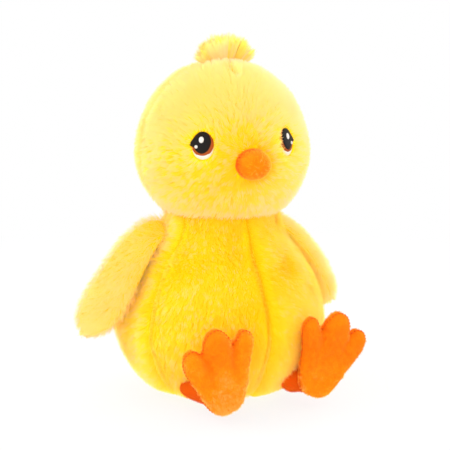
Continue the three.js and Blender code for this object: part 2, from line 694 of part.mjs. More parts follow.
function footFilling(side) {
  const inset = NAP + LINING_GAP;
  const front = footRings(side, SOLE_DOME, inset, 0);
  const back = footRings(side, -UPPER_DOME, inset, 0);
  const rings = [...front.slice(1).reverse(), ...back];
  return loft(rings, footPole(side, SOLE_DOME - inset), footPole(side, inset - UPPER_DOME));
}

function legCapsule(inset) {
  const capsule = new THREE.CapsuleGeometry(LEG_RADIUS - inset, legLength, LEG_FLATS / 4, LEG_FLATS);
  return capsule.translate(0, -legLength / 2, 0);
}

function addLeg(side, name) {
  const leg = group(chick, hipCentre(side), [0, 0, legTurn(side)]);
  const span = legLength + 3 * LEG_RADIUS;
  const mouths = new THREE.CylinderGeometry(LEG_MOUTH, LEG_MOUTH, span, LEG_FLATS);
  mouths.translate(0, -legLength / 2, 0);
  add(leg, `${name}_leg_cover`, cut(legCapsule(0), legCapsule(NAP), mouths), ORANGE);
  add(leg, `${name}_leg_filling`, legCapsule(NAP + LINING_GAP), FIBRE);

  const yaw = side * FOOT_YAW[name] - legTurn(side);
  const foot = group(leg, [0, -legLength, 0], [FOOT_PITCH, side * FOOT_ROLL, yaw], 'ZXY');
  const cup = legRoom(ANKLE_BEND).rotateZ(Math.PI).applyQuaternion(foot.quaternion.clone().invert());
  add(foot, `${name}_foot_sole`, cut(footPanel(side, SOLE_DOME), cup), ORANGE);
  add(foot, `${name}_foot_upper`, cut(footPanel(side, -UPPER_DOME), cup), ORANGE);
  add(foot, `${name}_foot_filling`, cut(footFilling(side), cup), FIBRE);
}

addBody();
addNeck();
addHead();
for (const [side, name] of [[1, 'left'], [-1, 'right']]) {
  addWing(side, name);
  addLeg(side, name);
}

export default chick;
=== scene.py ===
import math

import bmesh
import bpy
import numpy as np
from mathutils import Matrix, Vector, geometry, noise


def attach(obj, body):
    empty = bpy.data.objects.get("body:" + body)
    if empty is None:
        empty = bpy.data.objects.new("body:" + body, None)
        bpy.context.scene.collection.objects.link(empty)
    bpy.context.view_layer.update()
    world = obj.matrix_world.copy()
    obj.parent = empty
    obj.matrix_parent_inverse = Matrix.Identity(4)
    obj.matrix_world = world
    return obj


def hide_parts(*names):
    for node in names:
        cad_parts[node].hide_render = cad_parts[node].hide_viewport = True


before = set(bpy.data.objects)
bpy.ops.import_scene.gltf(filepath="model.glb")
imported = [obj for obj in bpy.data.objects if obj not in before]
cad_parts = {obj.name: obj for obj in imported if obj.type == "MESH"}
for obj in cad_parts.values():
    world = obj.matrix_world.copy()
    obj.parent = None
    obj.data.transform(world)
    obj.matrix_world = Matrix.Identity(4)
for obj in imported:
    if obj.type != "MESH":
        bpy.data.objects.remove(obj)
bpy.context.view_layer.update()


# Stage. A pale sheet of paper lies under the chick and fades to white, four large soft lamps stand
# around it, and the camera looks at its right side from a little above.

class Wire:
    """An output of a node tree. Arithmetic on it adds Math nodes, and make() adds any other node."""

    def __init__(self, tree, socket=None):
        self.tree = tree
        self.socket = socket

    def make(self, kind, inputs, output=0, stops=None, **settings):
        node = self.tree.nodes.new(kind)
        for name, value in settings.items():
            setattr(node, name, value)
        if stops:
            ramp = node.color_ramp.elements
            while len(ramp) < len(stops):
                ramp.new(1)
            for element, (position, colour) in zip(ramp, stops):
                element.position = position
                element.color = colour
        for key, value in inputs.items():
            named = [socket for socket in node.inputs if socket.enabled and socket.name == key]
            target = node.inputs[key] if isinstance(key, int) else named[0]
            if isinstance(value, Wire):
                self.tree.links.new(value.socket, target)
            else:
                target.default_value = value
        results = [socket for socket in node.outputs if socket.enabled and output in (0, socket.name)]
        return Wire(self.tree, results[0] if results else None)

    def _sum(self, operation, first, second):
        return self.make("ShaderNodeMath", {0: first, 1: second}, operation=operation)

    def __add__(self, other):
        return self._sum("ADD", self, other)

    def __radd__(self, other):
        return self._sum("ADD", other, self)

    def __sub__(self, other):
        return self._sum("SUBTRACT", self, other)

    def __rsub__(self, other):
        return self._sum("SUBTRACT", other, self)

    def __mul__(self, other):
        return self._sum("MULTIPLY", self, other)

    def __rmul__(self, other):
        return self._sum("MULTIPLY", other, self)

    def __pow__(self, other):
        return self._sum("POWER", self, other)

    def __rpow__(self, other):
        return self._sum("POWER", other, self)


def linear(red, green, blue):
    """A screen colour, 0 to 255, as the shader's numbers."""
    def straighten(level):
        level /= 255
        return level / 12.92 if level <= 0.04045 else ((level + 0.055) / 1.055) ** 2.4
    return (straighten(red), straighten(green), straighten(blue), 1)


def blank_material(name):
    material = bpy.data.materials.new(name)
    material.use_nodes = True
    material.node_tree.nodes.clear()
    return material, Wire(material.node_tree)


def surface_from(tree, shader):
    tree.make("ShaderNodeOutputMaterial", {"Surface": shader})


def placed(name, data):
    """A new object of the scene, which holds a mesh, a lamp or a camera."""
    holder = bpy.data.objects.new(name, data)
    bpy.context.scene.collection.objects.link(holder)
    return holder


def mesh_piece(name, points, faces):
    mesh = bpy.data.meshes.new(name)
    mesh.from_pydata([tuple(point) for point in points], [], faces)
    mesh.polygons.foreach_set("use_smooth", [True] * len(mesh.polygons))
    mesh.update()
    return placed(name, mesh)


paper_reach = 4.0
paper_corners = [(paper_reach * x, paper_reach * y, 0) for x, y in ((-1, -1), (1, -1), (1, 1), (-1, 1))]
paper = mesh_piece("paper_floor", paper_corners, [(0, 1, 2, 3)])
paper_material, tree = blank_material("white_paper")
place = tree.make("ShaderNodeTexCoord", {}, "Object")
distance = tree.make("ShaderNodeVectorMath", {0: place}, "Value", operation="LENGTH")
fade = tree.make("ShaderNodeMapRange", {
    "Value": distance, "From Min": 0.1, "From Max": 0.6, "To Min": 0.85, "To Max": 1.0,
})
matt = tree.make("ShaderNodeBsdfDiffuse", {"Color": (0.9, 0.9, 0.9, 1)})
glow = tree.make("ShaderNodeEmission", {"Color": (1, 1, 1, 1), "Strength": 1.0})
surface_from(tree, tree.make("ShaderNodeMixShader", {0: fade, 1: matt, 2: glow}))
paper.data.materials.append(paper_material)

world = bpy.data.worlds.new("soft_room")
bpy.context.scene.world = world
world.use_nodes = True
world.node_tree.nodes.clear()
tree = Wire(world.node_tree)
seen = tree.make("ShaderNodeLightPath", {}, "Is Camera Ray")
room = tree.make("ShaderNodeBackground", {"Color": (1, 0.985, 0.96, 1), "Strength": 1.0})
white = tree.make("ShaderNodeBackground", {"Color": (1, 1, 1, 1), "Strength": 1.0})
surroundings = tree.make("ShaderNodeMixShader", {0: seen, 1: room, 2: white})
tree.make("ShaderNodeOutputWorld", {"Surface": surroundings})


def around(azimuth, elevation, distance, centre):
    """A point at an azimuth from the front, an elevation and a distance from a centre."""
    a, e = math.radians(azimuth), math.radians(elevation)
    aside = Vector((math.sin(a) * math.cos(e), -math.cos(a) * math.cos(e), math.sin(e)))
    return Vector(centre) + distance * aside


def aim(obj, spot, target):
    obj.matrix_world = (Vector(target) - spot).to_track_quat("-Z", "Y").to_matrix().to_4x4()
    obj.location = spot


lamp_distance = 1.4
lamp_target = (0, 0, 0.12)


def soft_lamp(name, azimuth, elevation, size, power):
    lamp = bpy.data.lights.new(name, "AREA")
    lamp.shape = "DISK"
    lamp.size = size
    lamp.energy = power
    aim(placed(name, lamp), around(azimuth, elevation, lamp_distance, lamp_target), lamp_target)


soft_lamp("left_lamp", -110, 42, 1.0, 7)
soft_lamp("right_lamp", 90, 30, 1.0, 6)
soft_lamp("top_lamp", 160, 68, 1.2, 3)
soft_lamp("front_lamp", -30, 8, 1.4, 8)

camera = bpy.data.cameras.new("camera")
camera.lens = 120
camera.sensor_width = 36
camera.dof.use_dof = False
viewer = placed("camera", camera)
look_at = (0.0038, -0.0022, 0.1183)
aim(viewer, around(azimuth=-30, elevation=10.5, distance=1.05, centre=look_at), look_at)
bpy.context.scene.camera = viewer
bpy.context.scene.view_settings.view_transform = "Standard"


# Body cover. A pear of knitted plush fabric, sewn from two front panels, two back panels and a base,
# stuffed tight with fibre over a bag of pellets. The seams draw it in at the front, sides and back.

body_radius = 0.074
body_widest = 0.052
seat_radius = 0.042
shoulder_peak = 0.094
shoulder_bend = 1.7
shoulder_round = 1 / 1.3
belly_bend = 1.65
body_seams = [0, 72, 180, -72]
body_columns = 136
body_step = 0.003
seam_depth = 0.003
seam_reach = 0.003
seam_end = 0.118
seam_fade = 0.014
pile_depth = 0.0032
plush_gold = linear(255, 242, 20)


def body_outline(height):
    """Radius of the brushed body at a height above the seat."""
    rise = np.clip((height - body_widest) / shoulder_peak, 0, 1)
    drop = np.clip((body_widest - height) / body_widest, 0, 1)
    shoulder = body_radius * (1 - rise ** shoulder_bend) ** shoulder_round
    belly = np.sqrt(body_radius ** 2 - drop ** belly_bend * (body_radius ** 2 - seat_radius ** 2))
    return np.where(height > body_widest, shoulder, belly)


def inset(radii, heights, depth):
    """The same profile, moved in from the fibre tips to the knitted ground."""
    dr, dz = np.gradient(radii), np.gradient(heights)
    size = np.hypot(dr, dz)
    return radii - depth * dz / size, heights + depth * dr / size


def even_profile(radii, heights, step):
    """Profile points spaced evenly along a curve, with their outward normals as (radial, up)."""
    length = np.concatenate([[0], np.cumsum(np.hypot(np.diff(radii), np.diff(heights)))])
    stations = np.linspace(0, length[-1], int(length[-1] / step) + 1)
    r = np.interp(stations, length, radii)
    z = np.interp(stations, length, heights)
    dr, dz = np.gradient(r), np.gradient(z)
    size = np.hypot(dr, dz)
    return r, z, dz / size, -dr / size


def seam_gap(azimuths, seams):
    """Angle from the nearest seam, positive on the side where the azimuth is larger."""
    gaps = np.array([(azimuths - math.radians(seam) + math.pi) % (2 * math.pi) - math.pi for seam in seams])
    return gaps[np.abs(gaps).argmin(axis=0), np.arange(len(azimuths))]


def bell(distance, reach):
    """1 on a line, falling softly to 0 beyond its reach."""
    return np.exp(-((distance / reach) ** 2))


def ring_faces(rows, columns):
    """Faces between the neighbouring rings of a skin."""
    faces = []
    for row in range(rows - 1):
        for column in range(columns):
            beside = (column + 1) % columns
            faces.append((row * columns + column, row * columns + beside,
                          (row + 1) * columns + beside, (row + 1) * columns + column))
    return faces


def turned_cover(name, profile, columns, furrow, low_pole, high_pole):
    """A closed skin turned about Z between two poles, with a furrow (depth, reach, seams) along its seams."""
    r, z, nr, nz = profile
    azimuths = np.linspace(-math.pi, math.pi, columns, endpoint=False)
    depth, reach, seams = furrow
    away = np.abs(seam_gap(azimuths, seams))[None, :] * r[:, None]
    depths = np.reshape(depth, (-1, 1)) * bell(away, reach)
    out = r[:, None] - nr[:, None] * depths
    up = z[:, None] - nz[:, None] * depths
    x = out * np.sin(azimuths)[None, :]
    y = -out * np.cos(azimuths)[None, :]
    points = np.stack([x, y, up], axis=-1).reshape(-1, 3)
    points = np.vstack([points, [(0, 0, low_pole), (0, 0, high_pole)]])
    rows = len(r)
    top = (rows - 1) * columns
    faces = ring_faces(rows, columns)
    for column in range(columns):
        beside = (column + 1) % columns
        faces.append((beside, column, rows * columns))
        faces.append((top + column, top + beside, rows * columns + 1))
    return mesh_piece(name, points, faces)


def grain(tree, scale, detail, **more):
    """A fine noise that is fixed to the piece."""
    place = tree.make("ShaderNodeTexCoord", {}, "Object")
    return tree.make("ShaderNodeTexNoise", dict(more, Vector=place, Scale=scale, Detail=detail))


def stored(tree, name, output="Fac"):
    """A value that the mesh carries from point to point."""
    return tree.make("ShaderNodeAttribute", {}, output, attribute_name=name)


def blend(tree, factor, first, second):
    return tree.make("ShaderNodeMix", {"Factor": factor, "A": first, "B": second}, data_type="RGBA")


def bumps(tree, height, strength, distance):
    sockets = {"Height": height, "Strength": strength, "Distance": distance}
    return tree.make("ShaderNodeBump", sockets, "Normal")


def knit_material(name, colour, shade, fold):
    """The ground of a pile fabric: dense underfur with darker roots showing between, darkest in the seams,
    where the fold colour paints the shade of their furrows.
    """
    material, tree = blank_material(name)
    speckle = grain(tree, 900, 2)
    fleck = blend(tree, speckle, shade, colour)
    surface_from(tree, tree.make("ShaderNodeBsdfPrincipled", {
        "Base Color": blend(tree, stored(tree, "seam"), fleck, fold), "Roughness": 0.95,
        "Specular IOR Level": 0.1, "Normal": bumps(tree, speckle, 0.6, 0.001),
        "Sheen Weight": 0.2, "Sheen Tint": colour,
    }))
    return material


neck_height = 0.1245
neck_forward = 0.003
neck_cup = (0.0370, 0.0358)
neck_rim = math.radians(20)
neck_curve = (-0.024, 0.013)
cup_floor = math.radians(-83)


def cupped(radii, heights):
    """A profile that curves up into a ball-shaped neck, turns in at its rim and goes down inside as a cup."""
    outer, inner = neck_cup
    clear = np.hypot(radii, heights - neck_height) > outer
    radii, heights = radii[clear], heights[clear]
    rise = np.linspace(math.atan2(heights[-1] - neck_height, radii[-1]), neck_rim, 40)[1:]
    line = np.stack([np.concatenate([radii, outer * np.cos(rise)]),
                     np.concatenate([heights, neck_height + outer * np.sin(rise)])], axis=-1)
    along = np.concatenate([[0], np.cumsum(np.linalg.norm(np.diff(line, axis=0), axis=1))])
    low, middle, high = along[len(radii) - 1] + np.array([neck_curve[0], 0, neck_curve[1]])
    ends = []
    for station in (low, middle, high):
        ends.append(np.array([np.interp(station, along, line[:, k]) for k in (0, 1)]))
    share = np.linspace(0, 1, 24)[:, None]
    bend = (1 - share) ** 2 * ends[0] + 2 * share * (1 - share) * ends[1] + share ** 2 * ends[2]
    fall = np.linspace(neck_rim, cup_floor, 40)
    cup = np.stack([inner * np.cos(fall), neck_height + inner * np.sin(fall)], axis=-1)
    line = np.vstack([line[along < low], bend, line[along > high], cup])
    return line[:, 0], line[:, 1]


seat_height = 0.0006
heights = np.linspace(seat_height, neck_height, 400)
radii, heights = cupped(*inset(body_outline(heights), heights, pile_depth))
profile = even_profile(radii, heights, body_step)
furrow = seam_depth * np.clip((seam_end - profile[1]) / seam_fade, 0.1, 1)
furrow[profile[1].argmax():] = 0
body_cover = turned_cover("body_cover", profile, body_columns, (furrow, seam_reach, body_seams), heights[0],
                          neck_height - neck_cup[1])
plush_ground = knit_material("yellow_plush_ground", plush_gold, linear(255, 236, 8), linear(246, 184, 0))
body_cover.data.materials.append(plush_ground)
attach(body_cover, "torso")
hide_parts("body_front_left_panel", "body_front_right_panel", "body_back_left_panel",
            "body_back_right_panel", "body_base_panel", "body_filling", "pellet_bag")


# Body pile. Soft polyester fibres stand in the knitted ground of each panel. They are brushed down and
# away from the seams, and hold together at the tips in small locks.

fibre_taper = 0.2


def fibre_mesh(name, bend, stations, thick):
    """One flat fibre of unit length, bent towards +X and drawn out to a point."""
    points, along, faces = [], [], []
    for station in stations:
        for side in (-1, 1):
            points.append((bend * station ** 2, side * thick * (1 - fibre_taper * station), station))
            along.append(station)
    points.append((bend, 0, 1))
    along.append(1.0)
    last = 2 * len(stations) - 2
    for step in range(0, last, 2):
        faces.append((step + 1, step, step + 2, step + 3))
    faces.append((last + 1, last, last + 2))
    fibre = mesh_piece(name, points, faces)
    layer = fibre.data.attributes.new("along", "FLOAT", "POINT")
    layer.data.foreach_set("value", along)
    return fibre


def node_group(name, inputs, result):
    """An empty Geometry Nodes tree, with named inputs and one geometry as its result."""
    group = bpy.data.node_groups.new(name, "GeometryNodeTree")
    for socket, kind in inputs:
        group.interface.new_socket(socket, in_out="INPUT", socket_type=f"NodeSocket{kind}")
    group.interface.new_socket(result, in_out="OUTPUT", socket_type="NodeSocketGeometry")
    return group, Wire(group)


longest_fibre = 1.06
lock_limit = 2.0e5
single_tone = 0.3
lock_tone = 0.7


def pile_tree():
    """Fibres over a skin, from its comb, reach and share attributes and the attribute that paints them paler
    or darker for light and shade, drawn together into locks.
    """
    group, tree = node_group("brushed_pile", [
        ("Skin", "Geometry"), ("Fibre", "Object"), ("Spacing", "Float"), ("Length", "Float"),
        ("Shortest", "Float"), ("Rise", "Float"), ("Lock Spacing", "Float"), ("Lock Pull", "Float"),
        ("Stray", "Float"), ("Seed", "Int"), ("Finish", "Material"),
    ], "Pile")

    def given(name):
        return tree.make("NodeGroupInput", {}, name)

    def carried(name, kind="FLOAT"):
        return tree.make("GeometryNodeInputNamedAttribute", {"Name": name}, data_type=kind)

    def drawn(low, high, step, kind="FLOAT", **more):
        return tree.make("FunctionNodeRandomValue", dict(more, Min=low, Max=high, Seed=seed + step),
                         data_type=kind)

    def scattered(apart, most, share, draw):
        return tree.make("GeometryNodeDistributePointsOnFaces", {
            "Mesh": given("Skin"), "Distance Min": apart, "Density Max": most, "Density Factor": share,
            "Seed": draw,
        }, distribute_method="POISSON")

    def kept(geometry, name, value, kind):
        return tree.make("GeometryNodeStoreNamedAttribute", {
            "Geometry": geometry, "Name": name, "Value": value,
        }, data_type=kind, domain="INSTANCE")

    def arrow(operation, first, second):
        return tree.make("ShaderNodeVectorMath", {0: first, 1: second}, operation=operation)

    def stretched(vector, size):
        return tree.make("ShaderNodeVectorMath", {0: vector, "Scale": size}, operation="SCALE")

    seed = given("Seed")
    spacing = given("Spacing")
    stray = given("Stray")
    spread = scattered(spacing, 5 * spacing ** -2, carried("share"), seed)
    normal = Wire(group, spread.socket.node.outputs["Normal"])
    locks = scattered(given("Lock Spacing"), lock_limit, 1.0, seed + 7)
    here = tree.make("GeometryNodeInputPosition", {})
    nearest = tree.make("GeometryNodeSampleNearest", {"Geometry": locks, "Sample Position": here})
    lock = tree.make("GeometryNodeSampleIndex", {"Geometry": locks, "Value": here, "Index": nearest},
                     data_type="FLOAT_VECTOR")
    pull = stretched(arrow("SUBTRACT", lock, here), given("Lock Pull"))
    sway = drawn((-1, -1, -1), (1, 1, 1), 3, "FLOAT_VECTOR", ID=nearest)
    jitter = drawn((-1, -1, -1), (1, 1, 1), 5, "FLOAT_VECTOR")
    lean = arrow("ADD", arrow("ADD", carried("comb", "FLOAT_VECTOR"), pull),
                 arrow("ADD", stretched(sway, stray), stretched(jitter, stray * 0.6)))
    root = arrow("ADD", stretched(normal, given("Rise")), stretched(lean, 0.55))
    turn = tree.make("FunctionNodeAxesToRotation", {"Primary Axis": root, "Secondary Axis": lean},
                     primary_axis="Z", secondary_axis="X")
    uneven = drawn(given("Shortest"), longest_fibre, 11)
    fibre = tree.make("GeometryNodeObjectInfo", {"Object": given("Fibre")}, "Geometry")
    planted = tree.make("GeometryNodeInstanceOnPoints", {
        "Points": spread, "Instance": fibre, "Rotation": turn,
        "Scale": given("Length") * carried("reach") * uneven,
    })
    # The tone: random per fibre and per lock, plus the painted light and shade that the skin carries.
    tone = drawn(0.0, 1.0, 13) * single_tone + drawn(0.0, 1.0, 17, ID=nearest) * lock_tone + carried("rub")
    toned = kept(planted, "tone", tone, "FLOAT")
    facing = kept(toned, "outward", normal, "FLOAT_VECTOR")
    grown = tree.make("GeometryNodeRealizeInstances", {"Geometry": facing})
    done = tree.make("GeometryNodeSetMaterial", {"Geometry": grown, "Material": given("Finish")})
    tree.make("NodeGroupOutput", {"Pile": done})
    return group


brushed_pile = pile_tree()
plush_fibre = fibre_mesh("plush_fibre", 0.35, (0.0, 0.4, 0.75), 0.035)


def bake_cells(piece, fibre):
    """A UV map that gives every fibre a cell of its own, so that colour maps can be baked onto the fibres."""
    loops = len(fibre.data.loops)
    count = len(piece.data.loops) // loops
    side = math.ceil(math.sqrt(count))
    corner = np.zeros(loops, int)
    fibre.data.loops.foreach_get("vertex_index", corner)
    along = np.zeros(len(fibre.data.vertices), np.float32)
    fibre.data.attributes["along"].data.foreach_get("value", along)
    across = np.append(np.tile([0.1, 0.9], len(along) // 2), 0.5)
    local = np.stack([across[corner], 0.1 + 0.8 * along[corner]], axis=-1)
    cells = np.stack([np.arange(count) % side, np.arange(count) // side], axis=-1)
    flat = ((cells[:, None, :] + local[None, :, :]) / side).reshape(-1).astype(np.float32)
    piece.data.uv_layers.new(name="OFBake").data.foreach_set("uv", flat)


def made_on(name, base, group, values):
    """What a node group makes on a piece, as a plain mesh of its own."""
    modifier = base.modifiers.new(name, "NODES")
    modifier.node_group = group
    for item in group.interface.items_tree:
        if item.in_out == "INPUT" and item.name in values:
            modifier[item.identifier] = values[item.name]
    depsgraph = bpy.context.evaluated_depsgraph_get()
    mesh = bpy.data.meshes.new_from_object(base.evaluated_get(depsgraph))
    base.modifiers.remove(modifier)
    mesh.name = name
    return placed(name, mesh)


def grow_pile(name, skin, fibre, finish, sizes, seed):
    """The fibres on a skin, with their own UV map."""
    pile = made_on(name, skin, brushed_pile, dict(sizes, Fibre=fibre, Finish=finish, Seed=seed))
    pile.data.polygons.foreach_set("use_smooth", [True] * len(pile.data.polygons))
    bake_cells(pile, fibre)
    return pile


def pile_material(name, shades, bloom, weights, through):
    """Fibres, deep at the root and pale at the tip, with a bloom at grazing angles. The deep roots are
    painted shade within the pile and the pale tips a painted sheen. The weights are those of the place along
    a fibre, of its lock and of the painted light and tone that its skin carries, and of the patches in which
    the fabric is stroked.
    Through is the share of light that passes through a fibre."""
    root, middle, tip = (linear(*shade) for shade in shades)
    depth, fleck, stroked = weights
    material, tree = blank_material(name)
    patch = grain(tree, 55, 1)
    lit = ((stored(tree, "along") - 0.5) * depth + (stored(tree, "tone") - 0.5) * fleck
           + (patch - 0.5) * stroked + 0.5)
    colour = tree.make("ShaderNodeValToRGB", {"Fac": lit}, "Color",
                       stops=[(0, root), (0.65, middle), (1, tip)])
    fibre = tree.make("ShaderNodeBsdfPrincipled", {
        "Base Color": colour, "Roughness": 0.8, "Specular IOR Level": 0.05,
    })
    glow = tree.make("ShaderNodeBsdfTranslucent", {"Color": middle})
    outward = stored(tree, "outward", "Vector")
    skin = tree.make("ShaderNodeVectorTransform", {"Vector": outward}, vector_type="NORMAL",
                     convert_from="OBJECT", convert_to="WORLD")
    sheen = tree.make("ShaderNodeBsdfSheen", {"Color": bloom, "Roughness": 0.6, "Normal": skin})
    mass = tree.make("ShaderNodeMixShader", {0: through, 1: fibre, 2: glow})
    surface_from(tree, tree.make("ShaderNodeAddShader", {0: mass, 1: sheen}))
    return material


def flattened(directions, normals):
    """Directions laid along the surface."""
    return directions - (directions * normals).sum(axis=1, keepdims=True) * normals


def tangent(normals, directions):
    """Directions laid along the surface and made of unit length."""
    flat = flattened(np.array(directions), normals)
    return flat / np.maximum(np.linalg.norm(flat, axis=1, keepdims=True), 1e-9)


eddy_seed = 1
noise.seed_set(eddy_seed)


def eddies(points, scale, seed):
    """A slow wander of direction over a surface. Without the seed above it would differ from run to run."""
    return np.array([noise.noise_vector(Vector(point) / scale + Vector((seed, 0, 0))) for point in points])


def skin_arrays(piece):
    count = len(piece.data.vertices)
    points, normals = np.zeros(count * 3), np.zeros(count * 3)
    piece.data.vertices.foreach_get("co", points)
    piece.data.vertices.foreach_get("normal", normals)
    return points.reshape(-1, 3), normals.reshape(-1, 3)


def brush(piece, comb, **values):
    """Stores how the pile lies on a skin: its lean, and as numbers its reach, its share, how far its fibres
    are painted paler or darker, mostly as painted light and shade with some random tone, and where the seams
    are."""
    layer = piece.data.attributes.new("comb", "FLOAT_VECTOR", "POINT")
    layer.data.foreach_set("vector", comb.astype(np.float32).ravel())
    for name, numbers in values.items():
        layer = piece.data.attributes.new(name, "FLOAT", "POINT")
        layer.data.foreach_set("value", numbers.astype(np.float32))


def panel_of(piece, keep):
    """A copy of part of a skin: the faces whose middle passes the test."""
    mesh = piece.data.copy()
    panel = placed("panel", mesh)
    centres = np.zeros(len(mesh.polygons) * 3)
    mesh.polygons.foreach_get("center", centres)
    drop = ~keep(centres.reshape(-1, 3))
    work = bmesh.new()
    work.from_mesh(mesh)
    work.faces.ensure_lookup_table()
    bmesh.ops.delete(work, geom=[work.faces[i] for i in np.flatnonzero(drop)], context="FACES")
    work.to_mesh(mesh)
    work.free()
    return panel


parting_reach = 0.010


def lie_of_seams(points, normals, seams):
    """For the points of a turned skin: azimuth, radius, distance from the nearest seam, how strongly it
    parts the pile, and the directions sideways and down the fabric."""
    azimuth = np.arctan2(points[:, 0], -points[:, 1])
    radius = np.hypot(points[:, 0], points[:, 1])
    off_seam = seam_gap(azimuth, seams) * radius
    parting = np.sign(off_seam) * np.exp(-np.abs(off_seam) / parting_reach)
    sideways = np.stack([np.cos(azimuth), np.sin(azimuth), np.zeros(len(points))], axis=-1)
    return azimuth, radius, off_seam, parting, sideways, tangent(normals, (0.0, 0.0, -1.0))


plush_bloom = (1.0, 0.5, 0.55, 1)
plush_weights = (0.6, 1.0, 0.3)
plush_through = 0.62
plush_pile = pile_material("yellow_plush_pile", [(255, 230, 0), (255, 246, 8), (255, 243, 172)],
                           plush_bloom, plush_weights, plush_through)
body_sizes = {
    "Spacing": 0.00058, "Length": 0.006, "Shortest": 0.75, "Rise": 1.0,
    "Lock Spacing": 0.0015, "Lock Pull": 45.0, "Stray": 0.1,
}
cup_clear = 0.045
points, normals = skin_arrays(body_cover)
azimuth, radius, off_seam, parting, sideways, down = lie_of_seams(points, normals, body_seams)
lie = down * (0.55 - 0.35 * np.abs(parting))[:, None] + sideways * (0.6 * parting)[:, None]
lie += 0.45 * eddies(points, 0.022, 3.1)
outside = ((points - (0, 0, neck_height)) * normals).sum(axis=1) > 0
# Painted light and shade: the fibres are painted paler on top and at the sides, for the light and sheen
# there, and darker beside the seams, and the seam value paints the ground darker along them, both as painted
# shade in the seams' furrows.
rub = 0.3 * np.clip(normals[:, 2], 0, 1) + 0.35 * np.sin(azimuth) ** 4 - 0.2 - 0.5 * bell(off_seam, 0.0026)
reach = np.clip((points[:, 2] - 0.002) / 0.012, 0.12, 1) * (1 - 0.5 * bell(off_seam, 0.0024))
brush(body_cover, flattened(lie, normals), rub=rub, share=1.0 * (outside | (radius > cup_clear)),
      seam=bell(off_seam, 0.002), reach=reach)

bare_base = 0.0035
lean_start = 0.098
lean_span = 0.018


def between(low, high):
    """A test for the faces of one panel, from its low seam to its high seam."""
    def test(centres):
        turn = np.degrees(np.arctan2(centres[:, 0], -centres[:, 1]))
        return (turn > low) & (turn < high) & (centres[:, 2] > bare_base)
    return test


def lean_forward(skin):
    """Draws the top of a body skin forward, to the neck."""
    spots = skin_arrays(skin)[0]
    spots[:, 1] -= neck_forward * np.clip((spots[:, 2] - lean_start) / lean_span, 0, 1)
    skin.data.vertices.foreach_set("co", spots.ravel())
    skin.data.update()


panels = []
for name, low, high in (
    ("body_front_left_pile", 0, 72), ("body_front_right_pile", -72, 0),
    ("body_back_left_pile", 72, 180), ("body_back_right_pile", -180, -72),
):
    panels.append((name, panel_of(body_cover, between(low, high))))
lean_forward(body_cover)
for seed, (name, panel) in enumerate(panels):
    lean_forward(panel)
    pile = grow_pile(name, panel, plush_fibre, plush_pile, body_sizes, seed)
    bpy.data.objects.remove(panel)
    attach(pile, "torso")


# Neck. The openings of the body and of the head are turned in and gathered with one thread, over a firm
# ball of fibre. It sits in the cup of the body, under the head, and only a tilt of the head shows it.

neck_centre = Vector((0, -neck_forward, neck_height))
collar_radius = 0.0349
collar_reach = 0.014
wad_radius = 0.0338
wad_reach = 0.0336


def capped_faces(rows, columns):
    """Faces between rings, with a face over the first ring and one over the last."""
    faces = ring_faces(rows, columns)
    faces.append(tuple(reversed(range(columns))))
    faces.append(tuple(range((rows - 1) * columns, rows * columns)))
    return faces


def ball_band(name, radius, reach, rows, columns, centre):
    """A closed band of a ball between two heights, turned about a vertical axis."""
    points = []
    for row in range(rows):
        tilt = math.asin(reach / radius) * (2 * row / (rows - 1) - 1)
        ring = radius * math.cos(tilt)
        for column in range(columns):
            turn = 2 * math.pi * column / columns
            points.append((ring * math.sin(turn), -ring * math.cos(turn), radius * math.sin(tilt)))
    return mesh_piece(name, [Vector(point) + centre for point in points], capped_faces(rows, columns))


neck_collar = ball_band("neck_collar", collar_radius, collar_reach, 13, 96, neck_centre)
neck_collar.data.materials.append(plush_ground)
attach(neck_collar, "neck_ring")
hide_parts("neck_band", "neck_thread")

fibre_wad, tree = blank_material("white_fibre_wad")
fluff = grain(tree, 260, 6, Roughness=0.7, Distortion=1.2)
tint = tree.make("ShaderNodeValToRGB", {"Fac": fluff}, "Color",
                 stops=[(0.3, linear(214, 209, 198)), (0.7, linear(250, 248, 243))])
surface_from(tree, tree.make("ShaderNodeBsdfPrincipled", {
    "Base Color": tint, "Roughness": 0.95, "Specular IOR Level": 0.1,
    "Normal": bumps(tree, fluff, 0.8, 0.002), "Sheen Weight": 0.3,
}))
neck_wad = ball_band("neck_wad", wad_radius, wad_reach, 25, 48, neck_centre)
neck_wad.data.materials.append(fibre_wad)
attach(neck_wad, "neck_core")
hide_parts("neck_filling")


# Head cover and pile. A round of plush sewn from a face panel and two back panels and stuffed tight. It is
# turned a little to its own right. A dart shapes the forehead. Under the eyes and the beak it is bare.

head_radius = 0.0607
head_widest = 0.171
head_upper = 0.0644
head_lower = 0.055
head_seams = [90, 180, -90]
head_columns = 172
head_step = 0.0021
head_seam_depth = 0.0014
head_seam_reach = 0.004
head_pile_depth = 0.0048
dart_reach = (-0.031, -0.013)
dart_fade = 0.004
dart_width = 0.0016
dart_depth = 0.0014
head_place = Matrix.Translation((0.0007, -0.0034, 0)) @ Matrix.Rotation(math.radians(-9), 4, "Z")


def face_place(azimuth, height, depth):
    """A place on the head, below the fibre tips: local Z points out of the fabric and local Y up it."""
    tall = head_upper if height > head_widest else head_lower
    tilt = math.asin((height - head_widest) / tall)
    turn = math.radians(azimuth)
    lean = Vector((math.cos(tilt) / head_radius, math.sin(tilt) / tall)).normalized()
    normal = Vector((lean.x * math.sin(turn), -lean.x * math.cos(turn), lean.y))
    across = Vector((math.cos(turn), math.sin(turn), 0))
    ring = head_radius * math.cos(tilt)
    spot = Vector((ring * math.sin(turn), -ring * math.cos(turn), height)) - depth * normal
    upward = normal.cross(across)
    return Matrix.Translation(spot) @ Matrix((across, upward, normal)).transposed().to_4x4()


neck_room = 0.0395


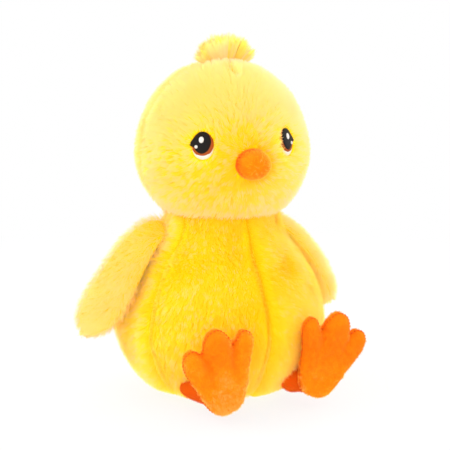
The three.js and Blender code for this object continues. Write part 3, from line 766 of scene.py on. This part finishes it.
def hollowed(radii, heights):
    """A profile that starts at a round hollow over the neck and turns up into it."""
    clear = np.hypot(radii, heights - neck_height) > neck_room
    radii, heights = radii[clear], heights[clear]
    bend = np.linspace(0.12, math.asin(min(radii[0] / neck_room, 1)), 12)[:-1]
    r = np.concatenate([neck_room * np.sin(bend), radii])
    return r, np.concatenate([neck_height + neck_room * np.cos(bend), heights])


tilts = np.linspace(-1.2, math.pi / 2 - 0.03, 500)
outline_r = head_radius * np.cos(tilts)
outline_z = head_widest + np.where(tilts > 0, head_upper, head_lower) * np.sin(tilts)
radii, heights = hollowed(*inset(outline_r, outline_z, head_pile_depth))
head_cover = turned_cover("head_cover", even_profile(radii, heights, head_step), head_columns,
                          (head_seam_depth, head_seam_reach, head_seams),
                          neck_height + neck_room, head_widest + head_upper - head_pile_depth)
head_cover.data.materials.append(plush_ground)
points, normals = skin_arrays(head_cover)

eye_height = 0.182
eye_places = {
    1: face_place(31.5, eye_height, head_pile_depth),
    -1: face_place(-35, eye_height, head_pile_depth),
}
beak_place = face_place(0, 0.169, 0.004)
beak_half_width = 0.0122
beak_half_height = 0.0109


def seen_from(place, points):
    """Points in the frame of a place on the face."""
    turned = np.array(place.inverted())
    return points @ turned[:3, :3].T + turned[:3, 3]


dart = np.clip(np.minimum(points[:, 1] - dart_reach[0], dart_reach[1] - points[:, 1]) / dart_fade, 0, 1)
dart *= points[:, 2] > head_widest
dart_fold = dart * bell(points[:, 0], dart_width)
head_cover.data.vertices.foreach_set("co", (points - dart_depth * dart_fold[:, None] * normals).ravel())

eye_part = {1: 0.0, -1: 0.4}
eye_trim = {1: 0.5, -1: 0.3}
eye_room = {1: (-0.0008, 0.0078), -1: (0.0006, 0.0076)}
eye_room_up = 0.0006
eye_room_tall = 0.0096
far_off = 9
eye_rise = np.zeros(len(points))
eye_bare = np.zeros(len(points))
eye_short = np.zeros(len(points))
eye_lean = np.zeros((len(points), 3))
for side, place in eye_places.items():
    local = seen_from(place, points)
    aside, wide = eye_room[side]
    span = np.hypot((local[:, 0] - aside) / wide, (local[:, 1] - eye_room_up) / eye_room_tall)
    span = np.where(np.abs(local[:, 2]) < 0.02, span, far_off)
    eye_bare = np.maximum(eye_bare, np.clip((1.06 - span) / 0.1, 0, 1))
    near = np.exp(-np.maximum(span - 1, 0) / 0.5)
    outward = points - np.array(place.translation)
    eye_lean += eye_part[side] * tangent(normals, outward) * near[:, None]
    eye_rise = np.maximum(eye_rise, near)
    eye_short = np.maximum(eye_short, eye_trim[side] * np.exp(-np.maximum(span - 1, 0) / 0.35))
local = seen_from(beak_place, points)
span = np.hypot(local[:, 0] / beak_half_width, local[:, 1] / beak_half_height)
beak_span = np.where(local[:, 2] > -0.02, span, far_off)
beak_bare = np.clip((1.02 - beak_span) / 0.1, 0, 1)

azimuth, radius, off_seam, parting, sideways, down = lie_of_seams(points, normals, head_seams)
under = 1.0 * ((radius > 0.032) | (points[:, 2] > head_widest))
outward = tangent(normals, points - np.array(beak_place.translation))
behind = np.clip((np.abs(azimuth) - math.radians(60)) / math.radians(60), 0, 1)[:, None]
lie = (outward * 0.6 + down * 0.1) * (1 - behind) + down * 0.6 * behind + sideways * (0.25 * parting)[:, None]
fringe = np.clip((0.150 - points[:, 2]) / 0.014, 0, 1)
lie += down * (0.2 * fringe)[:, None]
lie[:, 0] += 1.2 * dart * np.sign(points[:, 0]) * np.exp(-np.abs(points[:, 0]) / 0.003)
lie += 0.45 * eddies(points, 0.02, 8.7)
lie = lie * (1 - 0.95 * eye_rise)[:, None] + eye_lean
# Painted light and shade: the fibres are painted paler on top and at the sides, for the light and sheen
# there, paler on the chin's fringe, whose tips catch the light, and darker in the dart's fold, as painted
# shade.
rub = 1.1 * np.clip(normals[:, 2], 0, 1) + 0.4 * np.sin(azimuth) ** 2 + 0.15 * fringe - 0.4 * dart_fold
reach = 1 + 0.15 * fringe - 0.3 * bell(off_seam, 0.003) - eye_short - 0.3 * dart_fold
# The seam value paints the ground darker along the seams, in the dart's fold and round the eyes: painted
# shade.
brush(head_cover, flattened(lie, normals), rub=rub, share=np.clip(1 - eye_bare - beak_bare, 0, 1) * under,
      seam=np.maximum(bell(off_seam, 0.002), np.maximum(dart_fold, eye_bare)), reach=reach)
# A paler copy of the plush pile for the head and wings, which catch more of the light: painted light.
lit_pile = pile_material("lit_plush_pile", [(255, 226, 0), (255, 243, 20), (255, 239, 198)],
                          plush_bloom, plush_weights, plush_through)
head_sizes = dict(body_sizes, Length=0.0062)
for seed, (name, low, high) in enumerate([
    ("face_left_pile", 0, 90), ("face_right_pile", -90, 0),
    ("head_back_left_pile", 90, 180), ("head_back_right_pile", -180, -90),
]):
    panel = panel_of(head_cover, between(low, high))
    pile = grow_pile(name, panel, plush_fibre, lit_pile, head_sizes, 20 + seed)
    pile.data.transform(head_place)
    bpy.data.objects.remove(panel)
    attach(pile, "head")
head_cover.data.transform(head_place)
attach(head_cover, "head")
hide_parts("face_panel", "head_back_left_panel", "head_back_right_panel", "head_filling")


# Eyes. Each is embroidered on the bare ground of the face in satin stitch, one layer over the other: a
# white crescent, a brown ring, a black pupil with its lash, and two white glints.

stitch_thickness = 0.0005
stitch_root = 0.0006
face_curve = 0.118


def thread_material(name, colour, shade):
    """Rows of satin stitch that run across the eye."""
    material, tree = blank_material(name)
    stitch = tree.make("ShaderNodeUVMap", {}, uv_map="stitch")
    rows = tree.make("ShaderNodeTexWave", {"Vector": stitch, "Scale": 560, "Distortion": 0.6, "Detail": 1},
                     "Fac", bands_direction="Y")
    surface_from(tree, tree.make("ShaderNodeBsdfPrincipled", {
        "Base Color": blend(tree, rows, shade, colour), "Roughness": 0.5, "Specular IOR Level": 0.2,
        "Normal": bumps(tree, rows, 0.5, 0.0003),
    }))
    return material


def eye_patch(name, place, centre, spans, lift, lash=None):
    """A low cushion of stitches on the face, with an oval outline that can run out into a lash."""
    rings, columns = 7, 64
    points, flat = [], []
    for ring in range(rings + 1):
        share = ring / rings
        for column in range(columns):
            turn = 2 * math.pi * column / columns
            wide = spans[0] * spans[1] / math.hypot(spans[1] * math.cos(turn), spans[0] * math.sin(turn))
            if lash:
                off = (turn - lash["turn"] + math.pi) % (2 * math.pi) - math.pi
                reach = lash["above"] if off * lash["side"] > 0 else lash["below"]
                wide += lash["length"] * max(0, 1 - abs(off) / reach) ** 1.5
            u = centre[0] + share * wide * math.cos(turn)
            v = centre[1] + share * wide * math.sin(turn)
            height = lift + stitch_thickness * (1 - share ** 5) - (u * u + v * v) / face_curve
            points.append(place @ Vector((u, v, height)))
            flat.append((u, v))
    base = len(points)
    for column in range(columns):
        u, v = flat[rings * columns + column]
        points.append(place @ Vector((u, v, -stitch_root - (u * u + v * v) / face_curve)))
        flat.append((u, v))
    faces = [tuple(reversed(face)) for face in ring_faces(rings + 2, columns)[columns:]]
    faces.append(tuple(columns + column for column in range(columns)))
    faces.append(tuple(reversed([base + column for column in range(columns)])))
    patch = mesh_piece(name, points, faces)
    layer = patch.data.uv_layers.new(name="stitch")
    corners = np.zeros(len(patch.data.loops), int)
    patch.data.loops.foreach_get("vertex_index", corners)
    layer.data.foreach_set("uv", np.array(flat)[corners].astype(np.float32).ravel())
    return patch


black_thread = thread_material("black_embroidery", linear(22, 15, 13), linear(5, 4, 4))
brown_thread = thread_material("brown_embroidery", linear(196, 96, 30), linear(130, 52, 12))
white_thread = thread_material("white_embroidery", linear(252, 250, 246), linear(214, 208, 200))
eye_narrowing = {1: 0.87, -1: 1}
lash_turns = {1: -13, -1: 193}
millimetres = 1000
for side, owner in ((1, "left"), (-1, "right")):
    place = head_place @ eye_places[side]
    lash = {"turn": math.radians(lash_turns[side]), "above": 0.9, "below": 0.3, "length": 0.003, "side": side}
    for part, across, up, wide, tall, lift, thread, slot, tail in (
        ("white", -0.9, -1.6, 7.0, 7.2, 0.0002, white_thread, "white_thread", None),
        ("iris", -0.7, 1.2, 7.4, 8.1, 0.0005, brown_thread, "brown_thread", None),
        ("pupil", -0.5, 2.2, 6.1, 7.4, 0.0008, black_thread, "black_thread", lash),
        ("upper_glint", 0.0, 4.1, 1.7, 2.1, 0.0013, white_thread, "white_thread", None),
        ("lower_glint", 3.4, -0.6, 1.1, 1.1, 0.0013, white_thread, "white_thread", None),
    ):
        centre = (side * across / millimetres, up / millimetres)
        spans = (wide * eye_narrowing[side] / millimetres, tall / millimetres)
        patch = eye_patch(f"{owner}_eye_{part}_stitches", place, centre, spans, lift, tail)
        patch.data.materials.append(thread)
        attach(patch, "head")
        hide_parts(f"{owner}_eye_{part}")


# Beak. A small dome of short orange pile, gathered at its rim, stuffed and sewn to the middle of the face.
# Its nap is stroked back from the tip on all sides.

beak_length = 0.015
beak_rings = 22
beak_columns = 56
velour_depth = 0.0009


def velour_ground(name, colour, shade, fold):
    """Ground of the short orange pile: fine nap, with a deeper colour where the seam value is set, which is
    painted shade in seams and shaded places.
    """
    material, tree = blank_material(name)
    nap = grain(tree, 1500, 2)
    cloud = grain(tree, 90, 2)
    fleck = blend(tree, nap * 0.5 + cloud * 0.5, shade, colour)
    surface_from(tree, tree.make("ShaderNodeBsdfPrincipled", {
        "Base Color": blend(tree, stored(tree, "seam"), fleck, fold), "Roughness": 0.9,
        "Specular IOR Level": 0.1, "Normal": bumps(tree, nap, 0.5, 0.0006),
        "Sheen Weight": 0.15, "Sheen Tint": linear(255, 170, 60),
    }))
    return material


def dome(name, place, spans, tilts, columns):
    """A closed cushion of oval rings that narrow towards a tip."""
    points = []
    for tilt in tilts:
        for column in range(columns):
            turn = 2 * math.pi * column / columns
            points.append(place @ Vector((spans[0] * math.cos(tilt) * math.cos(turn),
                                          spans[1] * math.cos(tilt) * math.sin(turn),
                                          spans[2] * math.sin(tilt))))
    rings = len(tilts)
    faces = ring_faces(rings, columns)
    faces.append(tuple(range((rings - 1) * columns, rings * columns)))
    faces.append(tuple(reversed(range(columns))))
    return mesh_piece(name, points, faces)


velour = velour_ground("orange_velour_ground", linear(255, 150, 10), linear(252, 128, 6), linear(214, 66, 0))
nap_pile = pile_material("orange_velour_pile", [(246, 96, 0), (255, 176, 0), (255, 208, 110)],
                         (1.0, 0.6, 0.12, 1), (0.3, 0.6, 1.3), 0.4)
nap_fibre = fibre_mesh("nap_fibre", 0.3, (0.0, 0.55), 0.09)
nap_sizes = {
    "Spacing": 0.00055, "Length": 0.0014, "Shortest": 0.8, "Rise": 0.8,
    "Lock Spacing": 0.0012, "Lock Pull": 150.0, "Stray": 0.3,
}

beak_spans = (beak_half_width - velour_depth, beak_half_height - velour_depth, beak_length - velour_depth)
tilts = [math.radians(-18 + 106 * ring / (beak_rings - 1)) for ring in range(beak_rings)]
beak = dome("beak_cushion", beak_place, beak_spans, tilts, beak_columns)
beak.data.materials.append(velour)
points, normals = skin_arrays(beak)
tip = np.array(beak_place @ Vector((0, 0, beak_length)))
back = tangent(normals, points - tip)
local = seen_from(beak_place, points)
rim = np.clip(1 - (local[:, 2] - 0.002) / 0.004, 0, 1)
off_tip = np.hypot(local[:, 0], local[:, 1])
swirl = bell(off_tip, 0.006) * (6.0 * eddies(points, 0.0015, 5.5)[:, 0] - 0.9)
# Painted shade: the nap and its ground are painted darker towards the beak's base, where it meets the face.
# The swirl near the tip is random tone.
brush(beak, 0.7 * back + 0.3 * eddies(points, 0.006, 2.2), share=np.ones(len(points)), seam=rim,
      reach=np.ones(len(points)), rub=swirl - 0.9 * rim ** 2)
beak_pile = grow_pile("beak_pile", beak, nap_fibre, nap_pile, nap_sizes, 31)
for piece in (beak, beak_pile):
    piece.data.transform(head_place)
    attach(piece, "head")
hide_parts("beak_cover", "beak_filling")


# Crown tuft. A short brush of long pale fibres, sewn into the top of the head. It spreads into a fan
# that is wider than it is deep.

tuft_root = Vector((0.003, 0.002, head_widest + head_upper - 0.006))
tuft_spans = (0.0128, 0.0035, 0.003)
tuft_rings = 14
tuft_columns = 44
tuft_spread = 62
tilts = [math.radians(88 * ring / (tuft_rings - 1)) for ring in range(tuft_rings)]
tuft_knot = dome("tuft_knot", Matrix.Translation(tuft_root), tuft_spans, tilts, tuft_columns)
tuft_knot.data.materials.append(plush_ground)
points, normals = skin_arrays(tuft_knot)
spread = (points - np.array(tuft_root)) / np.array(tuft_spans)
fan = np.radians(tuft_spread) * spread[:, 0]
comb = 2 * np.stack([np.sin(fan), 0.2 * spread[:, 1], np.cos(fan)], axis=-1)
brush(tuft_knot, comb, rub=np.full(len(points), 0.15), share=(spread[:, 2] > 0.02) * 1.0,
      seam=np.zeros(len(points)), reach=1 - 0.45 * spread[:, 0] ** 2 + 0.04 * np.sin(17 * fan))
tuft_pile = pile_material("pale_tuft_fibre", [(255, 234, 20), (255, 245, 105), (255, 249, 205)],
                          (1.0, 0.7, 1.0, 1), (0.3, 1.4, 0.1), 0.6)
tuft_fibre = fibre_mesh("tuft_fibre", 0.04, (0.0, 0.3, 0.6, 0.88), 0.011)
tuft_sizes = {
    "Spacing": 0.00017, "Length": 0.0195, "Shortest": 0.6, "Rise": 0.1,
    "Lock Spacing": 0.001, "Lock Pull": 20.0, "Stray": 0.1,
}
tuft = grow_pile("crown_tuft_fan", tuft_knot, tuft_fibre, tuft_pile, tuft_sizes, 41)
for piece in (tuft_knot, tuft):
    piece.data.transform(head_place)
    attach(piece, "head")
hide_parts("crown_tuft")
bpy.data.objects.remove(tuft_fibre)


# Wings. Each is a flipper of two plush panels, sewn along its edge, lightly stuffed and sewn by its narrow
# end to the shoulder, from where it droops in an arc.

wing_length = 0.087
wing_depth = 0.0032
wing_widest = 0.62
wing_hug = 8.0
wing_heel = 0.013
wing_thickness = (0.0066, 0.0095)
wing_tip_bend = 3.4
wing_thinnest = 0.0006
wing_yaw = 8
wing_hinge = Vector((0.04865, 0.00684, 0.11684))
wing_columns = 48
wing_steps = 200


def eased(low, high, share):
    return low + (high - low) * math.sin(min(max(share, 0), 1) * math.pi / 2)


def wing_points(side, slopes, settle, widths, forward, twist, shares, turns):
    """Rings of a wing, in its own frame, along a line that droops from its first slope to its last. The
    widths are half its width at the root and where it is widest, and forward is how far that part leads."""
    steps = np.linspace(0, 1, wing_steps)
    line = slopes[0] + (slopes[1] - slopes[0]) * (1 - (1 - steps) ** settle)
    along = np.concatenate([[0], np.cumsum(np.cos(line))[:-1]]) * wing_length / wing_steps
    down = np.concatenate([[0], np.cumsum(np.sin(line))[:-1]]) * wing_length / wing_steps
    grid = []
    for share in shares:
        reach = max(share, 0) * (1 - wing_depth / wing_length)
        slope = np.interp(reach, steps, line)
        out = np.interp(reach, steps, along) + min(share, 0) * wing_length * math.cos(slope)
        drop = np.interp(reach, steps, down) + min(share, 0) * wing_length * math.sin(slope)
        taper = math.sqrt(1 - (max(share - wing_widest, 0) / (1 - wing_widest)) ** wing_tip_bend)
        heel = math.sqrt(max(1 - (min(share, 0) * wing_length / wing_heel) ** 2, 0))
        chord = max(taper * heel * eased(*widths, share / wing_widest) - wing_depth, wing_thinnest)
        thick = max(taper * heel * eased(*wing_thickness, share / wing_widest) - wing_depth, wing_thinnest)
        high = thick * np.sin(turns) - wing_hug * (chord * np.cos(turns)) ** 2
        front = chord * np.cos(turns) + eased(0, forward, share / wing_widest)
        lift = high * math.cos(twist) - front * math.sin(twist)
        ahead = front * math.cos(twist) + high * math.sin(twist)
        x = side * (out + lift * math.sin(slope))
        grid.append(np.stack([x, -ahead, lift * math.cos(slope) - drop], axis=-1))
    return np.array(grid)


wing_shares = np.concatenate([
    [-0.146, -0.13, -0.1, -0.05], np.linspace(0, 0.9, 30), [0.93, 0.955, 0.975, 0.99, 0.998],
])
wing_turns = np.linspace(0, 2 * math.pi, wing_columns, endpoint=False)
wing_sizes = dict(body_sizes, Length=0.0062, Rise=0.9, Stray=0.18)
wing_sizes["Lock Pull"] = 25.0
for side, owner, slopes, settle, widths, forward, twist in (
    (1, "left", (33, 72), 1.1, (0.015, 0.023), 0, 8),
    (-1, "right", (24, 56), 5.0, (0.0150, 0.0200), 0.0050, 27),
):
    grid = wing_points(side, np.radians(slopes), settle, widths, forward, math.radians(twist),
                       wing_shares, wing_turns)
    rows = len(wing_shares)
    faces = capped_faces(rows, wing_columns)
    if side > 0:
        faces = [tuple(reversed(face)) for face in faces]
    wing = mesh_piece(f"{owner}_wing_cover", grid.reshape(-1, 3), faces)
    wing.data.materials.append(plush_ground)
    hinge = Vector((side * wing_hinge.x, wing_hinge.y, wing_hinge.z))
    wing.data.transform(Matrix.Translation(hinge) @ Matrix.Rotation(side * math.radians(wing_yaw), 4, "Z"))
    points, normals = skin_arrays(wing)
    stacked = points.reshape(rows, wing_columns, 3)
    along = tangent(normals, np.gradient(stacked, axis=0).reshape(-1, 3))
    edge = np.abs(np.sin(np.tile(wing_turns, rows)))
    lie = 0.6 * along + 0.25 * eddies(points, 0.016, 4.4 + side)
    # Painted light: the fibres are painted paler all over and paler still on top, where the light falls, and
    # the seam value paints the ground darker along the edge seam, as painted shade.
    brush(wing, flattened(lie, normals), rub=1.2 + 0.2 * normals[:, 2], share=np.ones(len(points)),
          seam=0.5 * bell(edge, 0.1), reach=1 - 0.2 * bell(edge, 0.15))
    pile = grow_pile(f"{owner}_wing_pile", wing, plush_fibre, lit_pile, wing_sizes, 50 + side)
    for piece in (wing, pile):
        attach(piece, f"{owner}_wing")
    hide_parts(f"{owner}_wing_outer_panel", f"{owner}_wing_inner_panel", f"{owner}_wing_filling")


# Legs. Each is a short tube of orange velour, stuffed and sewn to the front of the body beside the seat.
# It flares where it meets the body.

leg_radius = 0.0085
leg_length = 0.01599
leg_flare = (0.6, 1.8)
leg_waist = 0.06
leg_tall = 1.25
leg_columns = 36
leg_turns = {1: 38, -1: -27}
hip = Vector((0.03052, -0.05079, 0.01726))
# A darker copy of the orange velour pile for the legs, which sit in the shade under the body: painted shade.
shaded_leg_nap = pile_material("shaded_orange_pile", [(232, 44, 0), (246, 76, 0), (255, 120, 10)],
                        (1.0, 0.4, 0.1, 1), (1.0, 0.3, 0.3), 0.4)

leg_profile = []
for angle in np.radians(np.linspace(85, 0, 7)):
    leg_profile.append((leg_radius * math.cos(angle), leg_radius * math.sin(angle)))
for share in np.linspace(0, 1, 7)[1:-1]:
    leg_profile.append((leg_radius * (1 - leg_waist * math.sin(share * math.pi)), -leg_length * share))
for angle in np.radians(np.linspace(0, 85, 7)):
    leg_profile.append((leg_radius * math.cos(angle), -leg_length - leg_radius * math.sin(angle)))

leg_places = {}
for side, owner in ((1, "left"), (-1, "right")):
    swing = Matrix.Rotation(math.radians(leg_turns[side]), 4, "Z")
    leg_places[side] = Matrix.Translation((side * hip.x, hip.y, hip.z)) @ swing
    points = []
    for r, y in leg_profile:
        for column in range(leg_columns):
            turn = 2 * math.pi * column / leg_columns
            flare = leg_flare[side * math.sin(turn) > 0] * min(max(1 + y / leg_length, 0), 1.2)
            points.append(((1 + flare) * r * math.sin(turn), y, leg_tall * r * math.cos(turn)))
    faces = [tuple(reversed(face)) for face in capped_faces(len(leg_profile), leg_columns)]
    leg = mesh_piece(f"{owner}_leg_tube", points, faces)
    leg.data.transform(leg_places[side])
    leg.data.materials.append(velour)
    points, normals = skin_arrays(leg)
    # The seam value paints the whole ground of the leg darker, as painted shade.
    brush(leg, 0.6 * tangent(normals, (0.0, -1.0, -0.3)), seam=np.full(len(points), 0.7),
          share=np.ones(len(points)), reach=np.full(len(points), 0.8))
    leg_pile = grow_pile(f"{owner}_leg_pile", leg, nap_fibre, shaded_leg_nap, nap_sizes, 60 + side)
    for piece in (leg, leg_pile):
        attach(piece, f"{owner}_leg")
    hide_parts(f"{owner}_leg_cover", f"{owner}_leg_filling")


# Feet. Each is a sole and an upper of orange velour with three toes, sewn together along their edge with
# thread, turned, stuffed and tacked between the toes. The outline and the folds are in millimetres.

ankle_up = 0.012
ankle_back = 0.008
foot_outline = [
    (1, 2.5), (-12.5, 6.5), (-18.5, 22), (-21.5, 39), (-25, 51.5), (-23, 59.5), (-17.5, 61), (-11, 53),
    (-8.5, 59.5), (-2.5, 66.5), (5, 64.5), (9, 58), (10.5, 51.5), (15, 55), (20.5, 54), (24, 48.5),
    (23, 40), (17.5, 26.5), (9.5, 8.5),
]
toe_folds = [((-11, 53), (-7, 36)), ((10.5, 51.5), (5.5, 35))]
edge_step = 2.2
sole_swell = 6.0
upper_swell = 8.0
swell_depth = 8
foot_turn = -10
foot_lean = 14
foot_roll = 10
# Painted shade: the far foot's nap is drawn darker than the near one's.
foot_side_shade = {1: -0.75, -1: 0.05}
stitch_pitch = 0.0026


def closed_curve(corners, steps):
    """A smooth closed line through points, as points spaced evenly along it."""
    corners = np.array(corners, float)
    count = len(corners)
    curve = []
    for i in range(count):
        p0, p1, p2, p3 = (corners[(i + k) % count] for k in (-1, 0, 1, 2))
        for t in np.linspace(0, 1, steps, endpoint=False):
            curve.append(0.5 * (2 * p1 + (p2 - p0) * t + (2 * p0 - 5 * p1 + 4 * p2 - p3) * t ** 2
                                + (3 * p1 - p0 - 3 * p2 + p3) * t ** 3))
    looped = np.array(curve + curve[:1])
    length = np.concatenate([[0], np.cumsum(np.linalg.norm(np.diff(looped, axis=0), axis=1))])
    stations = np.linspace(0, length[-1], int(length[-1] / edge_step), endpoint=False)
    return np.stack([np.interp(stations, length, looped[:, k]) for k in (0, 1)], axis=-1)


def stuffed(piece, held, scale, pressure, cap):
    """Blows a sewn cover up with the cloth solver, its seams held, and keeps each point within a cap."""
    rest = skin_arrays(piece)[0]
    piece.data.transform(Matrix.Scale(scale, 4))
    group = piece.vertex_groups.new(name="seam")
    group.add(held, 1.0, "REPLACE")
    cloth = piece.modifiers.new("stuffing", "CLOTH")
    cloth.settings.quality = 6
    cloth.settings.mass = 0.15
    cloth.settings.vertex_group_mass = "seam"
    cloth.settings.tension_stiffness = 12
    cloth.settings.compression_stiffness = 12
    cloth.settings.shear_stiffness = 6
    cloth.settings.bending_stiffness = 0.2
    cloth.settings.shrink_min = -0.03
    cloth.settings.use_pressure = True
    cloth.settings.uniform_pressure_force = pressure
    cloth.settings.effector_weights.gravity = 0
    cloth.point_cache.frame_start = 1
    cloth.point_cache.frame_end = 24
    for step in range(1, 25):
        bpy.context.scene.frame_set(step)
    depsgraph = bpy.context.evaluated_depsgraph_get()
    blown = np.array([vertex.co for vertex in piece.evaluated_get(depsgraph).data.vertices]) / scale
    piece.modifiers.remove(cloth)
    piece.vertex_groups.remove(group)
    bpy.context.scene.frame_set(1)
    move = blown - rest
    size = np.linalg.norm(move, axis=1, keepdims=True)
    kept = rest + move * np.minimum(1, cap / np.maximum(size, 1e-9))
    piece.data.vertices.foreach_set("co", kept.astype(np.float32).ravel())
    piece.data.update()


def foot_cushion(name, side):
    """A sole and an upper that meet at the edge seam, tacked between the toes and stuffed until both swell.
    Also returns the edge, and for each point its depth in from the seams and how deep in a fold it lies."""
    edge = closed_curve(foot_outline, 12)
    gap = 2.0
    row_gap = gap * 0.866
    low, high = edge.min(axis=0), edge.max(axis=0)
    inner = []
    for j in range(int((high[1] - low[1]) / row_gap) + 1):
        for i in range(int((high[0] - low[0]) / gap) + 2):
            spot = (low[0] + (i + 0.5 * (j % 2)) * gap, low[1] + j * gap * 0.866)
            if np.hypot(edge[:, 0] - spot[0], edge[:, 1] - spot[1]).min() > 1.3:
                inner.append(spot)
    corners = [Vector(point) for point in edge] + [Vector(point) for point in inner]
    ring = list(range(len(edge)))
    spots, _, triangles, *_ = geometry.delaunay_2d_cdt(
        corners, [(i, (i + 1) % len(edge)) for i in ring], [ring], 1, 1e-6)
    spots = np.array([tuple(spot) for spot in spots])
    depth = np.array([np.hypot(edge[:, 0] - x, edge[:, 1] - y).min() for x, y in spots])
    rim = depth < 1e-3
    held = rim.copy()
    fold = np.zeros(len(spots))
    for start, end in np.array(toe_folds):
        along = np.clip((spots - start) @ (end - start) / ((end - start) ** 2).sum(), 0, 1)
        beside = np.linalg.norm(spots - start - along[:, None] * (end - start), axis=1)
        depth = np.minimum(depth, beside + 0.4 + 7.6 * along ** 1.5)
        held |= (beside < 1.2) & (along < 0.6)
        fold = np.maximum(fold, bell(beside, 2) * (1 - along))
    swell = np.sqrt(1 - (1 - np.clip(depth / swell_depth, 0, 1)) ** 2)
    swell[rim] = 0
    count = len(spots)
    back_index = np.arange(count)
    back_index[~rim] = count + np.arange((~rim).sum())
    across, up = side * spots[:, 0], spots[:, 1] - millimetres * ankle_up
    front = np.stack([across, -millimetres * ankle_back - sole_swell * swell, up], axis=-1)
    back = np.stack([across, -millimetres * ankle_back + upper_swell * swell, up], axis=-1)
    points = np.vstack([front, back[~rim]]) / millimetres
    faces = [tuple(face) for face in triangles]
    faces += [tuple(int(back_index[i]) for i in reversed(face)) for face in triangles]
    foot = mesh_piece(name, points, faces)
    work = bmesh.new()
    work.from_mesh(foot.data)
    bmesh.ops.recalc_face_normals(work, faces=work.faces)
    work.to_mesh(foot.data)
    work.free()
    held = np.concatenate([held, held[~rim]])
    stuffed(foot, [int(i) for i in np.flatnonzero(held)], scale=8, pressure=0.7, cap=0.0022)
    return foot, edge, np.concatenate([depth * ~rim, depth[~rim]]), np.concatenate([fold, 0 * fold[~rim]])


def stitch_tree():
    """Stitches laid end to end along the edges of a seam line."""
    group, tree = node_group("seam_stitches", [
        ("Seam", "Geometry"), ("Stitch", "Object"), ("Pitch", "Float"), ("Finish", "Material"),
    ], "Stitches")

    def given(name):
        return tree.make("NodeGroupInput", {}, name)

    line = tree.make("GeometryNodeMeshToCurve", {"Mesh": given("Seam")})
    paced = tree.make("GeometryNodeResampleCurve", {"Curve": line, "Length": given("Pitch")}, mode="LENGTH")
    heading = tree.make("GeometryNodeInputTangent", {})
    turn = tree.make("FunctionNodeAlignRotationToVector", {"Vector": heading}, axis="X")
    stitch = tree.make("GeometryNodeObjectInfo", {"Object": given("Stitch")}, "Geometry")
    laid = tree.make("GeometryNodeInstanceOnPoints", {"Points": paced, "Instance": stitch, "Rotation": turn})
    real = tree.make("GeometryNodeRealizeInstances", {"Geometry": laid})
    done = tree.make("GeometryNodeSetMaterial", {"Geometry": real, "Material": given("Finish")})
    tree.make("NodeGroupOutput", {"Stitches": done})
    return group


stitch_half = 0.0009
stitch_body = 0.0011
thread_radius = 0.00034
stitch_points, stitch_faces = [(-stitch_half, 0, 0)], []
for row in (-0.5, 0.5):
    for column in range(6):
        turn = math.pi * column / 3
        y, z = thread_radius * math.cos(turn), thread_radius * math.sin(turn)
        stitch_points.append((stitch_body * row, y, z))
stitch_points.append((stitch_half, 0, 0))
for column in range(6):
    beside = (column + 1) % 6
    stitch_faces.append((0, 1 + column, 1 + beside))
    stitch_faces.append((1 + column, 7 + column, 7 + beside, 1 + beside))
    stitch_faces.append((7 + column, 13, 7 + beside))
stitch = mesh_piece("stitch", stitch_points, [tuple(reversed(face)) for face in stitch_faces])
stitch_line = stitch_tree()
stitch_thread, tree = blank_material("orange_sewing_thread")
surface_from(tree, tree.make("ShaderNodeBsdfPrincipled", {
    "Base Color": linear(224, 88, 4), "Roughness": 0.6, "Specular IOR Level": 0.2,
}))


def sew(name, points, pitch):
    """A closed row of stitches along points, as a plain mesh of its own."""
    line = mesh_piece("seam_line", points, [])
    line.data.edges.add(len(points))
    pairs = [(i, (i + 1) % len(points)) for i in range(len(points))]
    line.data.edges.foreach_set("vertices", np.array(pairs).ravel())
    row = made_on(name, line, stitch_line, {"Stitch": stitch, "Pitch": pitch, "Finish": stitch_thread})
    bpy.data.objects.remove(line)
    return row


for side, owner in ((1, "left"), (-1, "right")):
    foot_place = (leg_places[side] @ Matrix.Translation((0, -leg_length, 0))
                  @ Matrix.Rotation(math.radians(foot_turn - leg_turns[side]), 4, "Z")
                  @ Matrix.Rotation(math.radians(foot_lean), 4, "X")
                  @ Matrix.Rotation(math.radians(side * foot_roll), 4, "Y"))
    foot, edge, depth, fold = foot_cushion(f"{owner}_foot_cushion", side)
    foot.data.materials.append(velour)
    points, normals = skin_arrays(foot)
    down = tangent(normals, (0.0, 0.0, -1.0))
    # Painted light and shade on the nap: darker on the far foot and in the toe folds, as painted shade, and
    # paler on the lower half and at the edges, as painted light and sheen. The eddies are random tone.
    rub = (foot_side_shade[side] + np.clip((0.022 - points[:, 2]) / 0.022, -0.5, 1.3)
           + 0.7 * eddies(points, 0.015, 9.2 + side)[:, 0] + 0.7 * bell(depth, 2.4) - 2.0 * fold)
    lie = 0.6 * down + 0.4 * eddies(points, 0.012, 6.6 + side)
    # The seam value paints the ground darker near the edge seam: painted shade.
    brush(foot, lie, share=np.clip((depth - 0.5) / 1.2, 0, 1), seam=0.4 * bell(depth, 1.6),
          reach=np.ones(len(points)), rub=rub)
    foot_pile = grow_pile(f"{owner}_foot_pile", foot, nap_fibre, nap_pile, nap_sizes, 70 + side)
    seam_points = np.stack([side * edge[:, 0] / millimetres, np.full(len(edge), -ankle_back - 0.0005),
                            edge[:, 1] / millimetres - ankle_up], axis=-1)
    stitches = sew(f"{owner}_foot_stitches", seam_points, stitch_pitch)
    for piece, slot in ((foot, "orange_velour"), (foot_pile, "orange_velour"), (stitches, "sewing_thread")):
        piece.data.transform(foot_place)
        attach(piece, f"{owner}_foot")
    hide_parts(f"{owner}_foot_sole", f"{owner}_foot_upper", f"{owner}_foot_filling")

for spare in (plush_fibre, nap_fibre, stitch):
    bpy.data.objects.remove(spare)
